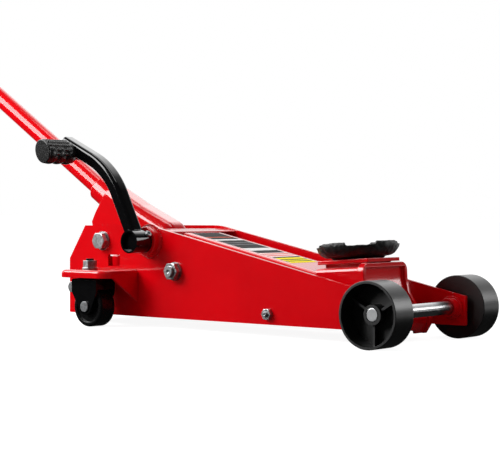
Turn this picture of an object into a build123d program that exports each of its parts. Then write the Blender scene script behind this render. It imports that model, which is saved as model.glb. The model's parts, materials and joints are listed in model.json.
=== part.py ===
from build123d import *
from math import cos, radians, sin, tan
import os

# Hydraulic trolley jack with a pumping handle and a foot pedal, in millimetres.
# +X is the front, +Z is up. The origin is on the floor under the front axle, on the middle plane.
# The right side (-Y) carries the foot pedal. All pieces are drawn with the lift arm down.
# They are drawn with the side plates level, and finish() leans them back by RAKE degrees about
# the front axle, which sets the casters on the floor.

# frame
PLATE_T = 5.4
FRAME_HALF = 84.8
FRAME_IN = FRAME_HALF - PLATE_T
FRAME_FRONT = 21
FRAME_REAR = -615
FRAME_BOTTOM = 20
FRAME_TOP = 160
NOSE_TOP = 61.6
FALL_START = -437
FALL = (FRAME_TOP - NOSE_TOP) / (FRAME_FRONT - FALL_START)
REAR_EDGE_TOP = 107
REAR_CHAMFER = 36
SHEET = 3
COVER_T = 2
COVER_TOP = 155
COVER_BEND = -424
COVER_FRONT = -404.5
WINDOW = (-513.7, 105.2)
WINDOW_SIZE = (25.7, 17.6)

# wheels
WHEEL_R = 45
RAKE = -0.561
WHEEL_W = 42
WHEEL_IN = 90.6
AXLE_R = 9.5
AXLE_END = 121
RUN = 0.08
CASTER_STEM = (-521, 129)
CASTER_TRAIL = 10
CASTER_R = 31
CASTER_Z = 36
CASTER_W = 30
BRACKET_FRONT = -460.5
BRACKET_REAR = -566
BRACKET_HALF = 158
BRACKET_TOP = 92
BRACKET_LIP = 12
BRACKET_ROUND = 5

# lift linkage: the arm and the rods are the two equal sides of a parallelogram
ARM_PIVOT = (-382.6, 91.3)
CARRIER_PIN = (-92, 66)
ROD_FRONT = (-50, 28)
ROD_REAR = (ROD_FRONT[0] - CARRIER_PIN[0] + ARM_PIVOT[0], ROD_FRONT[1] - CARRIER_PIN[1] + ARM_PIVOT[1])
ARM_HALF = 47
ARM_SHEET = 6
ARM_SUNK = 3.5
ARM_REAR = -402
ARM_DECK_END = -146
ARM_SHAFT_R = 11
SHAFT_END_R = 8
LUG_REACH = 50
LUG_REST = 30
LUG_IN = 15
LUG_OUT = 23
RAM_PIN_R = 7
RAM_Z = 48
RAM_R = 14
CARRIER_HALF = 54
CARRIER_SHEET = 5
ROD_IN = 56.5
ROD_T = 6
ROD_STUB_R = 7
ROD_PIN_R = 6
SADDLE_X = -106
SADDLE_R = 59.5
SEAT_TOP = 112.9
SEAT_TILT = 4.2
SADDLE_STEM_R = 15

# springs
SPRING_BOLT = (-202.4, 34.9)
SPRING_STUD = (-330, 75)
SPRING_Y = 70
SPRING_R = 7
STUD_R = 4

# handle and pumps
HANDLE_PIVOT = (-537.8, 135.8)
HANDLE_RISE = 32.7
HANDLE_OFFSET = 21.6
HANDLE_R = 15.2
SOCKET_R = 21.7
SOCKET_TOP = 125.8
SOCKET_BOTTOM = 50
HANDLE_TOP = 1126
YOKE_HALF = 26
YOKE_SHEET = 4.2
BOLT_R = 9
YOKE_TUBE_R = 13.5
ROLLER_REACH = 42
ROLLER_R = 10
BLOCK_TOP = 88
PEDAL_PIVOT = (-435.2, 135.8)
PEDAL_SHAFT_R = 10
FOOT_PUMP_X = -475
FOOT_PUMP_Y = -64
CAM_REACH = 44
CAM_R = 8
PUMP_GAP = 1
SIDES = ((-1, "r"), (1, "l"))

AXLE = (0, WHEEL_R)
AXLE_LINE = Axis((0, 0, WHEEL_R), (0, 1, 0))
RAM_PIN = (
    ARM_PIVOT[0] - LUG_REACH * sin(radians(LUG_REST)),
    ARM_PIVOT[1] - LUG_REACH * cos(radians(LUG_REST)),
)
PUMP_ROLLER = (HANDLE_PIVOT[0] - ROLLER_REACH, HANDLE_PIVOT[1])
HANDLE_DIR = Vector(-cos(radians(HANDLE_RISE)), 0, sin(radians(HANDLE_RISE)))
HANDLE_UP = Vector(sin(radians(HANDLE_RISE)), 0, cos(radians(HANDLE_RISE)))
HANDLE_FOOT = Vector(HANDLE_PIVOT[0], 0, HANDLE_PIVOT[1]) + HANDLE_UP * HANDLE_OFFSET


def edge_z(x):
    """Height of the side plates' sloping top edge."""
    return NOSE_TOP + FALL * (FRAME_FRONT - x)


def side_plane(y):
    """Drawing plane that faces -Y: sketch x is X, sketch y is Z, extrusions go towards -Y."""
    return Plane(origin=(0, y, 0), x_dir=(1, 0, 0), z_dir=(0, -1, 0))


def outward(side, inner, outer):
    """The Y range from inner to outer, measured away from the middle plane, on one side."""
    return (inner, outer) if side > 0 else (-outer, -inner)


def slab(points, y_range, mode=Mode.ADD, corner=0):
    """A flat piece with a polygon outline in XZ."""
    with BuildSketch(side_plane(y_range[1])) as profile:
        with BuildLine():
            Polyline(*points, close=True)
        make_face()
        if corner:
            fillet(profile.vertices(), corner)
    extrude(profile.sketch, amount=y_range[1] - y_range[0], mode=mode)


def disc(centre, radius, y_range, mode=Mode.ADD):
    """A round piece along Y."""
    with BuildSketch(side_plane(y_range[1])) as profile:
        with Locations(centre):
            Circle(radius)
    extrude(profile.sketch, amount=y_range[1] - y_range[0], mode=mode)


def hexagon(centre, flats, y_range):
    """A hexagon along Y, with the corners of its outer end turned off at 30 degrees."""
    with BuildSketch(side_plane(y_range[1])) as profile:
        with Locations(centre):
            RegularPolygon(flats / 2, 6, major_radius=False)
    extrude(profile.sketch, amount=y_range[1] - y_range[0])
    end = max(y_range, key=abs)
    inwards = -1 if end > 0 else 1
    inner = 0.48 * flats
    outer = 0.62 * flats
    with BuildSketch(Plane(origin=(centre[0], end, centre[1]), x_dir=(1, 0, 0), z_dir=(0, 0, 1))) as wedge:
        with BuildLine():
            Polyline((inner, 0), (outer, 0), (outer, inwards * (outer - inner) * tan(radians(30))), close=True)
        make_face()
    revolve(wedge.sketch, axis=Axis((centre[0], 0, centre[1]), (0, 1, 0)), mode=Mode.SUBTRACT)


def post(x, y, radius, z_range, mode=Mode.ADD):
    """A round piece along Z."""
    with BuildSketch(Plane.XY.offset(z_range[0])) as profile:
        with Locations((x, y)):
            Circle(radius)
    extrude(profile.sketch, amount=z_range[1] - z_range[0], mode=mode)


def link(first, first_r, second, second_r, y_range):
    """A flat link with two round ends."""
    with BuildSketch(side_plane(y_range[1])) as profile:
        with Locations(first):
            Circle(first_r)
        with Locations(second):
            Circle(second_r)
        make_hull()
    extrude(profile.sketch, amount=y_range[1] - y_range[0])


def shift(points, dx, dz=0):
    """The same points, moved in XZ."""
    return [(x + dx, z + dz) for x, z in points]


def handle_plane(distance):
    """Plane square to the handle, this far up its axis from the point nearest the pivot."""
    return Plane(origin=HANDLE_FOOT + HANDLE_DIR * distance, x_dir=(0, 1, 0), z_dir=HANDLE_DIR)


def handle_disc(radius, start, end, mode=Mode.ADD):
    """A round piece along the handle's axis."""
    with BuildSketch(handle_plane(start)) as profile:
        Circle(radius)
    extrude(profile.sketch, amount=end - start, mode=mode)


def finish(piece, name):
    """Label and save a piece, leaning with the whole jack about the front axle."""
    raked = piece.part.rotate(AXLE_LINE, RAKE)
    raked.label = name
    export_step(raked, f"parts/{name}.step")


os.makedirs("parts", exist_ok=True)

# ---------------------------------------------------------------- frame

UNIT_BOLT = (-603, 61)
UNIT_BAR_R = 9
PLATE_OUTLINE = [
    (FRAME_REAR, FRAME_BOTTOM),
    (FRAME_FRONT, FRAME_BOTTOM),
    (FRAME_FRONT, NOSE_TOP),
    (FALL_START, FRAME_TOP),
    (FRAME_REAR + REAR_CHAMFER, FRAME_TOP),
    (FRAME_REAR, REAR_EDGE_TOP),
]


def side_plate(side, tag):
    """A cut steel side plate, with the holes for everything that crosses it."""
    y_range = outward(side, FRAME_IN, FRAME_HALF)
    with BuildPart() as plate:
        with BuildSketch(side_plane(y_range[1])):
            with BuildLine():
                Polyline(*PLATE_OUTLINE, close=True)
            make_face()
            bend = vertices().sort_by_distance((FALL_START, FRAME_TOP))[0]
            fillet(bend, 120)
            fillet(vertices().group_by(Axis.X)[0] + vertices().group_by(Axis.X)[-1], 2)
        extrude(amount=PLATE_T)
        disc(AXLE, AXLE_R, y_range, Mode.SUBTRACT)
        disc(ARM_PIVOT, SHAFT_END_R, y_range, Mode.SUBTRACT)
        disc(HANDLE_PIVOT, BOLT_R, y_range, Mode.SUBTRACT)
        disc(SPRING_BOLT, STUD_R, y_range, Mode.SUBTRACT)
        disc(UNIT_BOLT, 5, y_range, Mode.SUBTRACT)
        if side < 0:
            disc(PEDAL_PIVOT, PEDAL_SHAFT_R + RUN, y_range, Mode.SUBTRACT)
            with BuildSketch(side_plane(y_range[1])):
                with Locations(WINDOW):
                    Rectangle(*WINDOW_SIZE)
            extrude(amount=PLATE_T, mode=Mode.SUBTRACT)
    finish(plate, f"side_plate_{tag}")


for side, tag in SIDES:
    side_plate(side, tag)

COVER_SLOT = 31
COVER_REAR = FRAME_REAR + REAR_CHAMFER + 1
cover_line = [(COVER_REAR, COVER_TOP), (COVER_BEND, COVER_TOP), (COVER_FRONT, edge_z(COVER_FRONT) - COVER_T)]
with BuildPart() as rear_cover:
    slab(cover_line + shift(cover_line, 0, -COVER_T)[::-1], (-FRAME_IN, FRAME_IN))
    with BuildSketch(Plane.XY.offset(COVER_TOP - 10)):
        with Locations((COVER_REAR, 0)):
            SlotCenterToCenter(2 * 116, 2 * COVER_SLOT)
    extrude(amount=20, mode=Mode.SUBTRACT)
finish(rear_cover, "rear_cover")

BASE_REAR = -612
BASE_FRONT = -458
BASE_TOP = FRAME_BOTTOM + SHEET
REAR_WALL_TOP = 109
with BuildPart() as base_plate:
    slab(
        [
            (BASE_FRONT, FRAME_BOTTOM),
            (BASE_FRONT, BASE_TOP),
            (BASE_REAR + SHEET, BASE_TOP),
            (BASE_REAR + SHEET, REAR_WALL_TOP),
            (BASE_REAR, REAR_WALL_TOP),
            (BASE_REAR, FRAME_BOTTOM),
        ],
        (-FRAME_IN, FRAME_IN),
    )
    for x in (-590, -490):
        post(x, 50, 6, (FRAME_BOTTOM, BASE_TOP), Mode.SUBTRACT)
        post(x, -50, 6, (FRAME_BOTTOM, BASE_TOP), Mode.SUBTRACT)
finish(base_plate, "base_plate")

with BuildPart() as front_axle:
    disc(AXLE, AXLE_R, (-AXLE_END, AXLE_END))
    chamfer(edges().filter_by(GeomType.CIRCLE), 1)
finish(front_axle, "front_axle")

with BuildPart() as axle_collars:
    for side, tag in SIDES:
        disc(AXLE, 13.5, outward(side, 66, FRAME_IN))
        disc(AXLE, 16.5, outward(side, FRAME_IN - 4, FRAME_IN))
        disc(AXLE, 13.5, outward(side, FRAME_HALF, WHEEL_IN - 0.4))
        disc(AXLE, AXLE_R, outward(side, 60, 95), Mode.SUBTRACT)
finish(axle_collars, "axle_collars")


def caster_bracket(side, tag):
    """A pressed outrigger: a plate with a turned-down edge and a gusset at its front."""
    length = BRACKET_FRONT - BRACKET_REAR
    middle = (BRACKET_FRONT + BRACKET_REAR) / 2
    reach = BRACKET_HALF - FRAME_HALF
    radius = 20
    with BuildPart() as bracket:
        with BuildSketch(Plane.XY.offset(BRACKET_TOP - BRACKET_LIP)) as plan:
            with Locations((middle, side * (FRAME_HALF + reach / 2))):
                Rectangle(length, reach)
            outer = plan.vertices().group_by(Axis.Y)[-1 if side > 0 else 0]
            fillet(outer, radius)
        extrude(amount=BRACKET_LIP)
        rim = faces().sort_by(Axis.Z)[-1].outer_wire().edges()
        fillet([edge for edge in rim if abs(edge.center().Y) > FRAME_HALF + 1], BRACKET_ROUND)
        with BuildSketch(Plane.XY.offset(BRACKET_TOP - BRACKET_LIP)) as pocket:
            with Locations((middle, side * (FRAME_HALF + reach / 2 - PLATE_T))):
                Rectangle(length - 2 * PLATE_T, reach)
            outer = pocket.vertices().group_by(Axis.Y)[-1 if side > 0 else 0]
            fillet(outer, radius - PLATE_T)
        extrude(amount=BRACKET_LIP - PLATE_T, mode=Mode.SUBTRACT)
        with BuildSketch(Plane.YZ.offset(BRACKET_FRONT - PLATE_T)):
            with BuildLine():
                Polyline(
                    (side * FRAME_HALF, BRACKET_TOP - BRACKET_ROUND - 1),
                    (side * (BRACKET_HALF - radius), BRACKET_TOP - BRACKET_ROUND - 1),
                    (side * (BRACKET_HALF - radius), BRACKET_TOP - BRACKET_LIP),
                    (side * FRAME_HALF, 42),
                    close=True,
                )
            make_face()
        extrude(amount=PLATE_T)
        stem = (CASTER_STEM[0], side * CASTER_STEM[1])
        post(*stem, 6 + RUN, (BRACKET_TOP - BRACKET_LIP, BRACKET_TOP), Mode.SUBTRACT)
    finish(bracket, f"caster_bracket_{tag}")


for side, tag in SIDES:
    caster_bracket(side, tag)

PEDAL_BOSS_END = 97.5
with BuildPart() as pedal_boss:
    disc(PEDAL_PIVOT, 22.5, (-PEDAL_BOSS_END, -FRAME_HALF))
    fillet(faces().sort_by(Axis.Y)[0].edges(), 2.5)
    with BuildSketch(side_plane(-FRAME_HALF)):
        with Locations(PEDAL_PIVOT):
            Circle(25.5)
    extrude(amount=4, taper=40)
    disc(PEDAL_PIVOT, PEDAL_SHAFT_R + RUN, (-PEDAL_BOSS_END, -FRAME_HALF), Mode.SUBTRACT)
finish(pedal_boss, "pedal_boss")

WASHER_T = 3
BOLT_WASHER_T = 2
ARM_NUT_T = 9
with BuildPart() as arm_shaft:
    stud_end = FRAME_HALF + WASHER_T + ARM_NUT_T + 2.5
    disc(ARM_PIVOT, ARM_SHAFT_R, (-FRAME_IN, FRAME_IN))
    disc(ARM_PIVOT, SHAFT_END_R, (-stud_end, stud_end))
    chamfer(edges().group_by(Axis.Y)[0] + edges().group_by(Axis.Y)[-1], 1)
finish(arm_shaft, "arm_shaft")

with BuildPart() as shaft_nuts:
    for side, tag in SIDES:
        nut_start = FRAME_HALF + WASHER_T
        disc(ARM_PIVOT, 14, outward(side, FRAME_HALF, nut_start))
        hexagon(ARM_PIVOT, 24, outward(side, nut_start, nut_start + ARM_NUT_T))
        disc(ARM_PIVOT, SHAFT_END_R, outward(side, 80, 120), Mode.SUBTRACT)
    hexagon(HANDLE_PIVOT, 27, (FRAME_HALF, FRAME_HALF + 15))
    disc(HANDLE_PIVOT, BOLT_R, (FRAME_HALF, FRAME_HALF + 15), Mode.SUBTRACT)
finish(shaft_nuts, "shaft_nuts")

with BuildPart() as handle_bolt:
    disc(HANDLE_PIVOT, BOLT_R, (-FRAME_HALF, FRAME_HALF + 20))
    disc(HANDLE_PIVOT, 15, (-FRAME_HALF - BOLT_WASHER_T, -FRAME_HALF))
    hexagon(HANDLE_PIVOT, 24, (-FRAME_HALF - BOLT_WASHER_T - 10, -FRAME_HALF - BOLT_WASHER_T))
    chamfer(faces().sort_by(Axis.Y)[-1].edges(), 1.5)
finish(handle_bolt, "handle_bolt")

with BuildPart() as spring_bolts:
    for side, tag in SIDES:
        disc(SPRING_BOLT, STUD_R, outward(side, SPRING_Y - 6, FRAME_HALF))
        disc(SPRING_BOLT, 5.5, outward(side, SPRING_Y + 2, FRAME_IN))
        hexagon(SPRING_BOLT, 15, outward(side, FRAME_HALF, FRAME_HALF + 6))
finish(spring_bolts, "spring_bolts")

with BuildPart() as rod_stubs:
    for side, tag in SIDES:
        disc(ROD_REAR, ROD_STUB_R, outward(side, 53, FRAME_IN))
        disc(ROD_REAR, 11, outward(side, ROD_IN + ROD_T + 0.4, FRAME_IN))
        disc(ROD_REAR, 10, outward(side, 53, ROD_IN - 0.4))
finish(rod_stubs, "rod_stubs")

with BuildPart() as unit_bolts:
    for side, tag in SIDES:
        disc(UNIT_BOLT, 5, outward(side, 60, FRAME_HALF))
        hexagon(UNIT_BOLT, 17, outward(side, FRAME_HALF, FRAME_HALF + 7))
finish(unit_bolts, "unit_bolts")

# ---------------------------------------------------------------- hydraulic unit

BLOCK_FRONT = -545
BLOCK_REAR = BASE_REAR + SHEET
BLOCK_HALF = 36
with BuildPart() as pump_block:
    slab(
        [(BLOCK_REAR, BASE_TOP), (BLOCK_FRONT, BASE_TOP), (BLOCK_FRONT, BLOCK_TOP), (BLOCK_REAR, BLOCK_TOP)],
        (-BLOCK_HALF, BLOCK_HALF),
    )
    fillet(edges().filter_by(Axis.Z), 5)
    fillet(faces().sort_by(Axis.Z)[-1].edges(), 3)
    disc(UNIT_BOLT, UNIT_BAR_R, (-FRAME_IN, FRAME_IN))
    bar_low = UNIT_BOLT[1] - UNIT_BAR_R
    bar_high = UNIT_BOLT[1] + UNIT_BAR_R
    behind = [(BASE_REAR, bar_low), (BLOCK_REAR, bar_low), (BLOCK_REAR, bar_high), (BASE_REAR, bar_high)]
    slab(behind, (-FRAME_IN, FRAME_IN), Mode.SUBTRACT)
    disc(UNIT_BOLT, 5, outward(1, 60, FRAME_IN), Mode.SUBTRACT)
    disc(UNIT_BOLT, 5, outward(-1, 60, FRAME_IN), Mode.SUBTRACT)
    post(PUMP_ROLLER[0], 0, 10 + RUN, (BLOCK_TOP - 30, BLOCK_TOP), Mode.SUBTRACT)
finish(pump_block, "pump_block")

RESERVOIR_R = RAM_Z - BASE_TOP
RESERVOIR_FRONT = -448
RAM_BORE_END = -532
VALVE_X = -505
VALVE_TOP = 96
with BuildPart() as reservoir:
    with BuildSketch(Plane.YZ.offset(BLOCK_FRONT)):
        with Locations((0, RAM_Z)):
            Circle(RESERVOIR_R)
    extrude(amount=RESERVOIR_FRONT - BLOCK_FRONT)
    fillet(edges().group_by(Axis.X)[-1], 5)
    with BuildSketch(Plane.YZ.offset(RESERVOIR_FRONT - 1)):
        with Locations((0, RAM_Z)):
            Circle(RAM_R + 5)
    extrude(amount=6)
    post(VALVE_X, 0, 12, (RAM_Z, VALVE_TOP))
    post(VALVE_X, 0, 4.5 + RUN, (RAM_Z + 24, VALVE_TOP), Mode.SUBTRACT)
    with BuildSketch(Plane.YZ.offset(RAM_BORE_END)):
        with Locations((0, RAM_Z)):
            Circle(RAM_R + RUN)
    extrude(amount=100, mode=Mode.SUBTRACT)
finish(reservoir, "reservoir")

BARREL_TOP = 111
with BuildPart() as hand_barrel:
    post(PUMP_ROLLER[0], 0, 17, (BLOCK_TOP, BARREL_TOP))
    chamfer(faces().sort_by(Axis.Z)[-1].edges(), 1.5)
    post(PUMP_ROLLER[0], 0, 10 + RUN, (BLOCK_TOP, BARREL_TOP), Mode.SUBTRACT)
finish(hand_barrel, "hand_barrel")

FOOT_BARREL_TOP = 96
with BuildPart() as foot_barrel:
    post(FOOT_PUMP_X, FOOT_PUMP_Y, 11.5, (BASE_TOP, FOOT_BARREL_TOP))
    chamfer(faces().sort_by(Axis.Z)[-1].edges(), 1.5)
    post(FOOT_PUMP_X, FOOT_PUMP_Y, 6.5 + RUN, (BASE_TOP + 12, FOOT_BARREL_TOP), Mode.SUBTRACT)
finish(foot_barrel, "foot_barrel")

HAND_CAP_TOP = PUMP_ROLLER[1] - ROLLER_R - PUMP_GAP
with BuildPart() as hand_plunger:
    post(PUMP_ROLLER[0], 0, 10, (BLOCK_TOP - 14, HAND_CAP_TOP))
    post(PUMP_ROLLER[0], 0, 14, (HAND_CAP_TOP - 4.5, HAND_CAP_TOP))
    chamfer(faces().sort_by(Axis.Z)[-1].edges(), 1)
finish(hand_plunger, "hand_plunger")

FOOT_CAP_TOP = PEDAL_PIVOT[1] - CAM_R - PUMP_GAP
with BuildPart() as foot_plunger:
    post(FOOT_PUMP_X, FOOT_PUMP_Y, 6.5, (66, FOOT_CAP_TOP))
    post(FOOT_PUMP_X, FOOT_PUMP_Y, 10, (FOOT_CAP_TOP - 3, FOOT_CAP_TOP))
    chamfer(faces().sort_by(Axis.Z)[-1].edges(), 1)
finish(foot_plunger, "foot_plunger")

with BuildPart() as valve_stem:
    post(VALVE_X, 0, 4.5, (RAM_Z + 30, 113))
    post(VALVE_X, 0, 8, (VALVE_TOP + 2, 121))
    with BuildSketch(Plane.XY.offset(110)):
        with Locations((VALVE_X, 0)):
            Rectangle(20, 6)
    extrude(amount=20, mode=Mode.SUBTRACT)
finish(valve_stem, "valve_stem")

TONGUE_REAR = RAM_PIN[0] - 18
TONGUE_FRONT = RAM_PIN[0] + 15
with BuildPart() as ram:
    with BuildSketch(Plane.YZ.offset(RAM_BORE_END + 12)):
        with Locations((0, RAM_Z)):
            Circle(RAM_R)
    extrude(amount=TONGUE_REAR + 1 - (RAM_BORE_END + 12))
    with BuildSketch(side_plane(LUG_IN - 1.5)) as tongue:
        with Locations(((TONGUE_REAR + TONGUE_FRONT) / 2, 44.6)):
            Rectangle(TONGUE_FRONT - TONGUE_REAR, 36)
        fillet(tongue.vertices().group_by(Axis.X)[-1], 9)
        with Locations((RAM_PIN[0], 44.6)):
            SlotOverall(22.4, 2 * RAM_PIN_R + 1.4, rotation=90, mode=Mode.SUBTRACT)
    extrude(amount=2 * (LUG_IN - 1.5))
finish(ram, "ram")

# ---------------------------------------------------------------- lift arm


def deck_z(x):
    """Top of the lift arm, just under the side plates' edge."""
    return edge_z(x) - ARM_SUNK


ARM_OUTLINE = [
    (ARM_REAR, deck_z(ARM_REAR)),
    (ARM_DECK_END, deck_z(ARM_DECK_END)),
    (ARM_DECK_END, 82),
    (CARRIER_PIN[0], CARRIER_PIN[1] + 18),
    (CARRIER_PIN[0], CARRIER_PIN[1] - 18),
    (-330, 60),
    (ARM_PIVOT[0], ARM_PIVOT[1] - 26),
    (ARM_PIVOT[0] - 26, ARM_PIVOT[1]),
]
with BuildPart() as arm_shell:
    slab(ARM_OUTLINE, (-ARM_HALF, ARM_HALF))
    deck = faces().filter_by(GeomType.PLANE).sort_by(Axis.Z)[-1]
    fillet(deck.edges().filter_by(lambda edge: abs(edge.tangent_at(0.5).Y) < 0.01), 8)
    disc(CARRIER_PIN, 18, (-ARM_HALF, ARM_HALF))
    disc(ARM_PIVOT, 26, (-ARM_HALF, ARM_HALF))
    inside = ARM_HALF - ARM_SHEET
    slab(
        [
            (ARM_REAR - 40, deck_z(ARM_REAR - 40) - CARRIER_SHEET),
            (ARM_DECK_END - 4, deck_z(ARM_DECK_END - 4) - CARRIER_SHEET),
            (ARM_DECK_END - 4, 120),
            (CARRIER_PIN[0] + 40, 120),
            (CARRIER_PIN[0] + 40, 0),
            (ARM_REAR - 40, 0),
        ],
        (-inside, inside),
        Mode.SUBTRACT,
    )
    disc(CARRIER_PIN, 9 + RUN, (-ARM_HALF, ARM_HALF), Mode.SUBTRACT)
    disc(ARM_PIVOT, 17, (-ARM_HALF, ARM_HALF), Mode.SUBTRACT)
finish(arm_shell, "arm_shell")

TUBE_END = FRAME_IN - 0.4
with BuildPart() as arm_pivot_tube:
    for side, tag in SIDES:
        link(ARM_PIVOT, 22, RAM_PIN, 13, outward(side, LUG_IN, LUG_OUT))
    disc(ARM_PIVOT, 17, (-TUBE_END, TUBE_END))
    disc(ARM_PIVOT, ARM_SHAFT_R + RUN, (-TUBE_END, TUBE_END), Mode.SUBTRACT)
    disc(RAM_PIN, RAM_PIN_R, (-LUG_OUT, LUG_OUT), Mode.SUBTRACT)
finish(arm_pivot_tube, "arm_pivot_tube")

with BuildPart() as ram_pin:
    disc(RAM_PIN, RAM_PIN_R, (-LUG_OUT - 4, LUG_OUT + 4))
    disc(RAM_PIN, 10, outward(1, LUG_OUT, LUG_OUT + 3))
    disc(RAM_PIN, 10, outward(-1, LUG_OUT, LUG_OUT + 3))
finish(ram_pin, "ram_pin")

with BuildPart() as spring_studs:
    for side, tag in SIDES:
        disc(SPRING_STUD, STUD_R, outward(side, ARM_HALF, SPRING_Y + 5))
        disc(SPRING_STUD, 8, outward(side, ARM_HALF, SPRING_Y - 8))
finish(spring_studs, "spring_studs")


def return_spring(side, tag):
    """A tension spring: its close-wound body and the two end loops round the studs."""
    y = side * SPRING_Y
    span = Vector(SPRING_STUD[0] - SPRING_BOLT[0], 0, SPRING_STUD[1] - SPRING_BOLT[1])
    start = Vector(SPRING_BOLT[0], y, SPRING_BOLT[1])
    body = Plane(origin=start + span.normalized() * 6, x_dir=(0, 1, 0), z_dir=span)
    with BuildPart() as spring:
        with BuildSketch(body):
            Circle(SPRING_R)
        extrude(amount=span.length - 12)
        for x, z in (SPRING_BOLT, SPRING_STUD):
            loop = (y - 1.2, y + 1.2)
            disc((x, z), 7, loop)
            disc((x, z), STUD_R + 0.3, (y - SPRING_R, y + SPRING_R), Mode.SUBTRACT)
    finish(spring, f"return_spring_{tag}")


for side, tag in SIDES:
    return_spring(side, tag)

# ---------------------------------------------------------------- saddle carrier

HOOD_REAR = (-142, 99.8)
HOOD_FRONT = (-70, 104.5)
NOSE_EDGE = [(-60, 109.5), (-59, 86), (-54, 66), (-44, 51), (-18, 31.5), (-18.5, 22), (-27, 9)]
NOSE_DEPTH = 10
HOOD_OUTLINE = (
    [HOOD_REAR, HOOD_FRONT]
    + shift(NOSE_EDGE[1:], -NOSE_DEPTH)
    + [(-56, 12), (-72, 22), (-116, 46), (-142, 84)]
)
with BuildPart() as carrier_shell:
    slab(HOOD_OUTLINE, (-CARRIER_HALF, CARRIER_HALF))
    hood_top = faces().filter_by(GeomType.PLANE).sort_by(Axis.Z)[-1]
    fillet(hood_top.edges().filter_by(lambda edge: abs(edge.tangent_at(0.5).Y) < 0.01), 6.5)
    inside = CARRIER_HALF - CARRIER_SHEET
    slab(
        [
            (HOOD_REAR[0] - 10, HOOD_REAR[1] - CARRIER_SHEET - 1),
            (HOOD_FRONT[0] + 20, HOOD_FRONT[1] - CARRIER_SHEET + 2),
            (20, HOOD_FRONT[1] - CARRIER_SHEET + 2),
            (20, -10),
            (HOOD_REAR[0] - 10, -10),
        ],
        (-inside, inside),
        Mode.SUBTRACT,
    )
    disc(CARRIER_PIN, 9, (-CARRIER_HALF, CARRIER_HALF), Mode.SUBTRACT)
    disc(ROD_FRONT, ROD_PIN_R, (-CARRIER_HALF, CARRIER_HALF), Mode.SUBTRACT)
    post(SADDLE_X, 0, SADDLE_STEM_R + 2, (60, 130), Mode.SUBTRACT)
finish(carrier_shell, "carrier_shell")

RIM = 6.5
PANEL_SINK = 5
with BuildPart() as carrier_front:
    rim_half = CARRIER_HALF + 1.2
    slab(NOSE_EDGE + shift(NOSE_EDGE, -NOSE_DEPTH)[::-1], (-rim_half, rim_half))
    panel_top = NOSE_EDGE[0][1] - RIM
    recess = [(-60, panel_top)] + NOSE_EDGE[1:]
    recess_front = shift(recess, 6)
    with BuildSketch(side_plane(rim_half - RIM)) as hollow:
        with BuildLine():
            Polyline(*recess_front, (-21, -5), (-33, -5), *shift(recess, -PANEL_SINK)[::-1], close=True)
        make_face()
    extrude(amount=2 * (rim_half - RIM), mode=Mode.SUBTRACT)
    with BuildSketch(Plane.YZ.offset(-80)):
        Rectangle(300, 400)
        with Locations((0, 109.5 - 100)):
            RectangleRounded(2 * rim_half, 200, 13, mode=Mode.SUBTRACT)
    extrude(amount=80, mode=Mode.SUBTRACT)
    with BuildSketch(Plane.YZ.offset(-50)):
        with Locations((0, 3)):
            SlotOverall(70, 22)
    extrude(amount=50, mode=Mode.SUBTRACT)
finish(carrier_front, "carrier_front")

# The seat plate and the saddle tilt together, nose up, about the middle of the plate's top face.
SEAT_CENTRE = Vector(SADDLE_X, 0, SEAT_TOP)
SEAT_RIGHT = Vector(cos(radians(SEAT_TILT)), 0, sin(radians(SEAT_TILT)))
SEAT_UP = Vector(-sin(radians(SEAT_TILT)), 0, cos(radians(SEAT_TILT)))
SEAT_SECTION = Plane(origin=SEAT_CENTRE, x_dir=SEAT_RIGHT, z_dir=(0, -1, 0))
SEAT_HALF = 40
SEAT_T = 5.3


def seat_plane(height):
    """Plane parallel to the seat plate's top face, this far above it."""
    return Plane(origin=SEAT_CENTRE + SEAT_UP * height, x_dir=SEAT_RIGHT, z_dir=SEAT_UP)


with BuildPart() as saddle_seat:
    hood_rise = (HOOD_FRONT[1] - HOOD_REAR[1]) / (HOOD_FRONT[0] - HOOD_REAR[0])
    seat_low = [(x, HOOD_REAR[1] + hood_rise * (x - HOOD_REAR[0])) for x in (HOOD_REAR[0], HOOD_FRONT[0] - 1)]
    slab(seat_low + [(seat_low[1][0], SEAT_TOP - 1), (HOOD_REAR[0], SEAT_TOP - 5)], (-30, 30))
    with BuildSketch(seat_plane(-SEAT_T)):
        Rectangle(2 * 43, 2 * SEAT_HALF)
    extrude(amount=SEAT_T)
    with BuildSketch(seat_plane(-20)):
        Circle(SADDLE_STEM_R + RUN)
    extrude(amount=25, mode=Mode.SUBTRACT)
finish(saddle_seat, "saddle_seat")

with BuildPart() as carrier_pin:
    disc(CARRIER_PIN, 9, (-CARRIER_HALF, CARRIER_HALF))
    disc(CARRIER_PIN, 13, outward(1, CARRIER_HALF, CARRIER_HALF + 2))
    disc(CARRIER_PIN, 13, outward(-1, CARRIER_HALF, CARRIER_HALF + 2))
finish(carrier_pin, "carrier_pin")

with BuildPart() as rod_pins:
    for side, tag in SIDES:
        disc(ROD_FRONT, ROD_PIN_R, outward(side, CARRIER_HALF - CARRIER_SHEET, 65.5))
        disc(ROD_FRONT, 9, outward(side, ROD_IN + ROD_T + 0.4, 65))
finish(rod_pins, "rod_pins")


def levelling_rod(side, tag):
    """A flat bar with an eye at each end."""
    y_range = outward(side, ROD_IN, ROD_IN + ROD_T)
    with BuildPart() as rod:
        link(ROD_REAR, 9, ROD_FRONT, 9, y_range)
        disc(ROD_REAR, 13, y_range)
        disc(ROD_FRONT, 12, y_range)
        disc(ROD_REAR, ROD_STUB_R + RUN, y_range, Mode.SUBTRACT)
        disc(ROD_FRONT, ROD_PIN_R + RUN, y_range, Mode.SUBTRACT)
    finish(rod, f"levelling_rod_{tag}")


for side, tag in SIDES:
    levelling_rod(side, tag)

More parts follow.
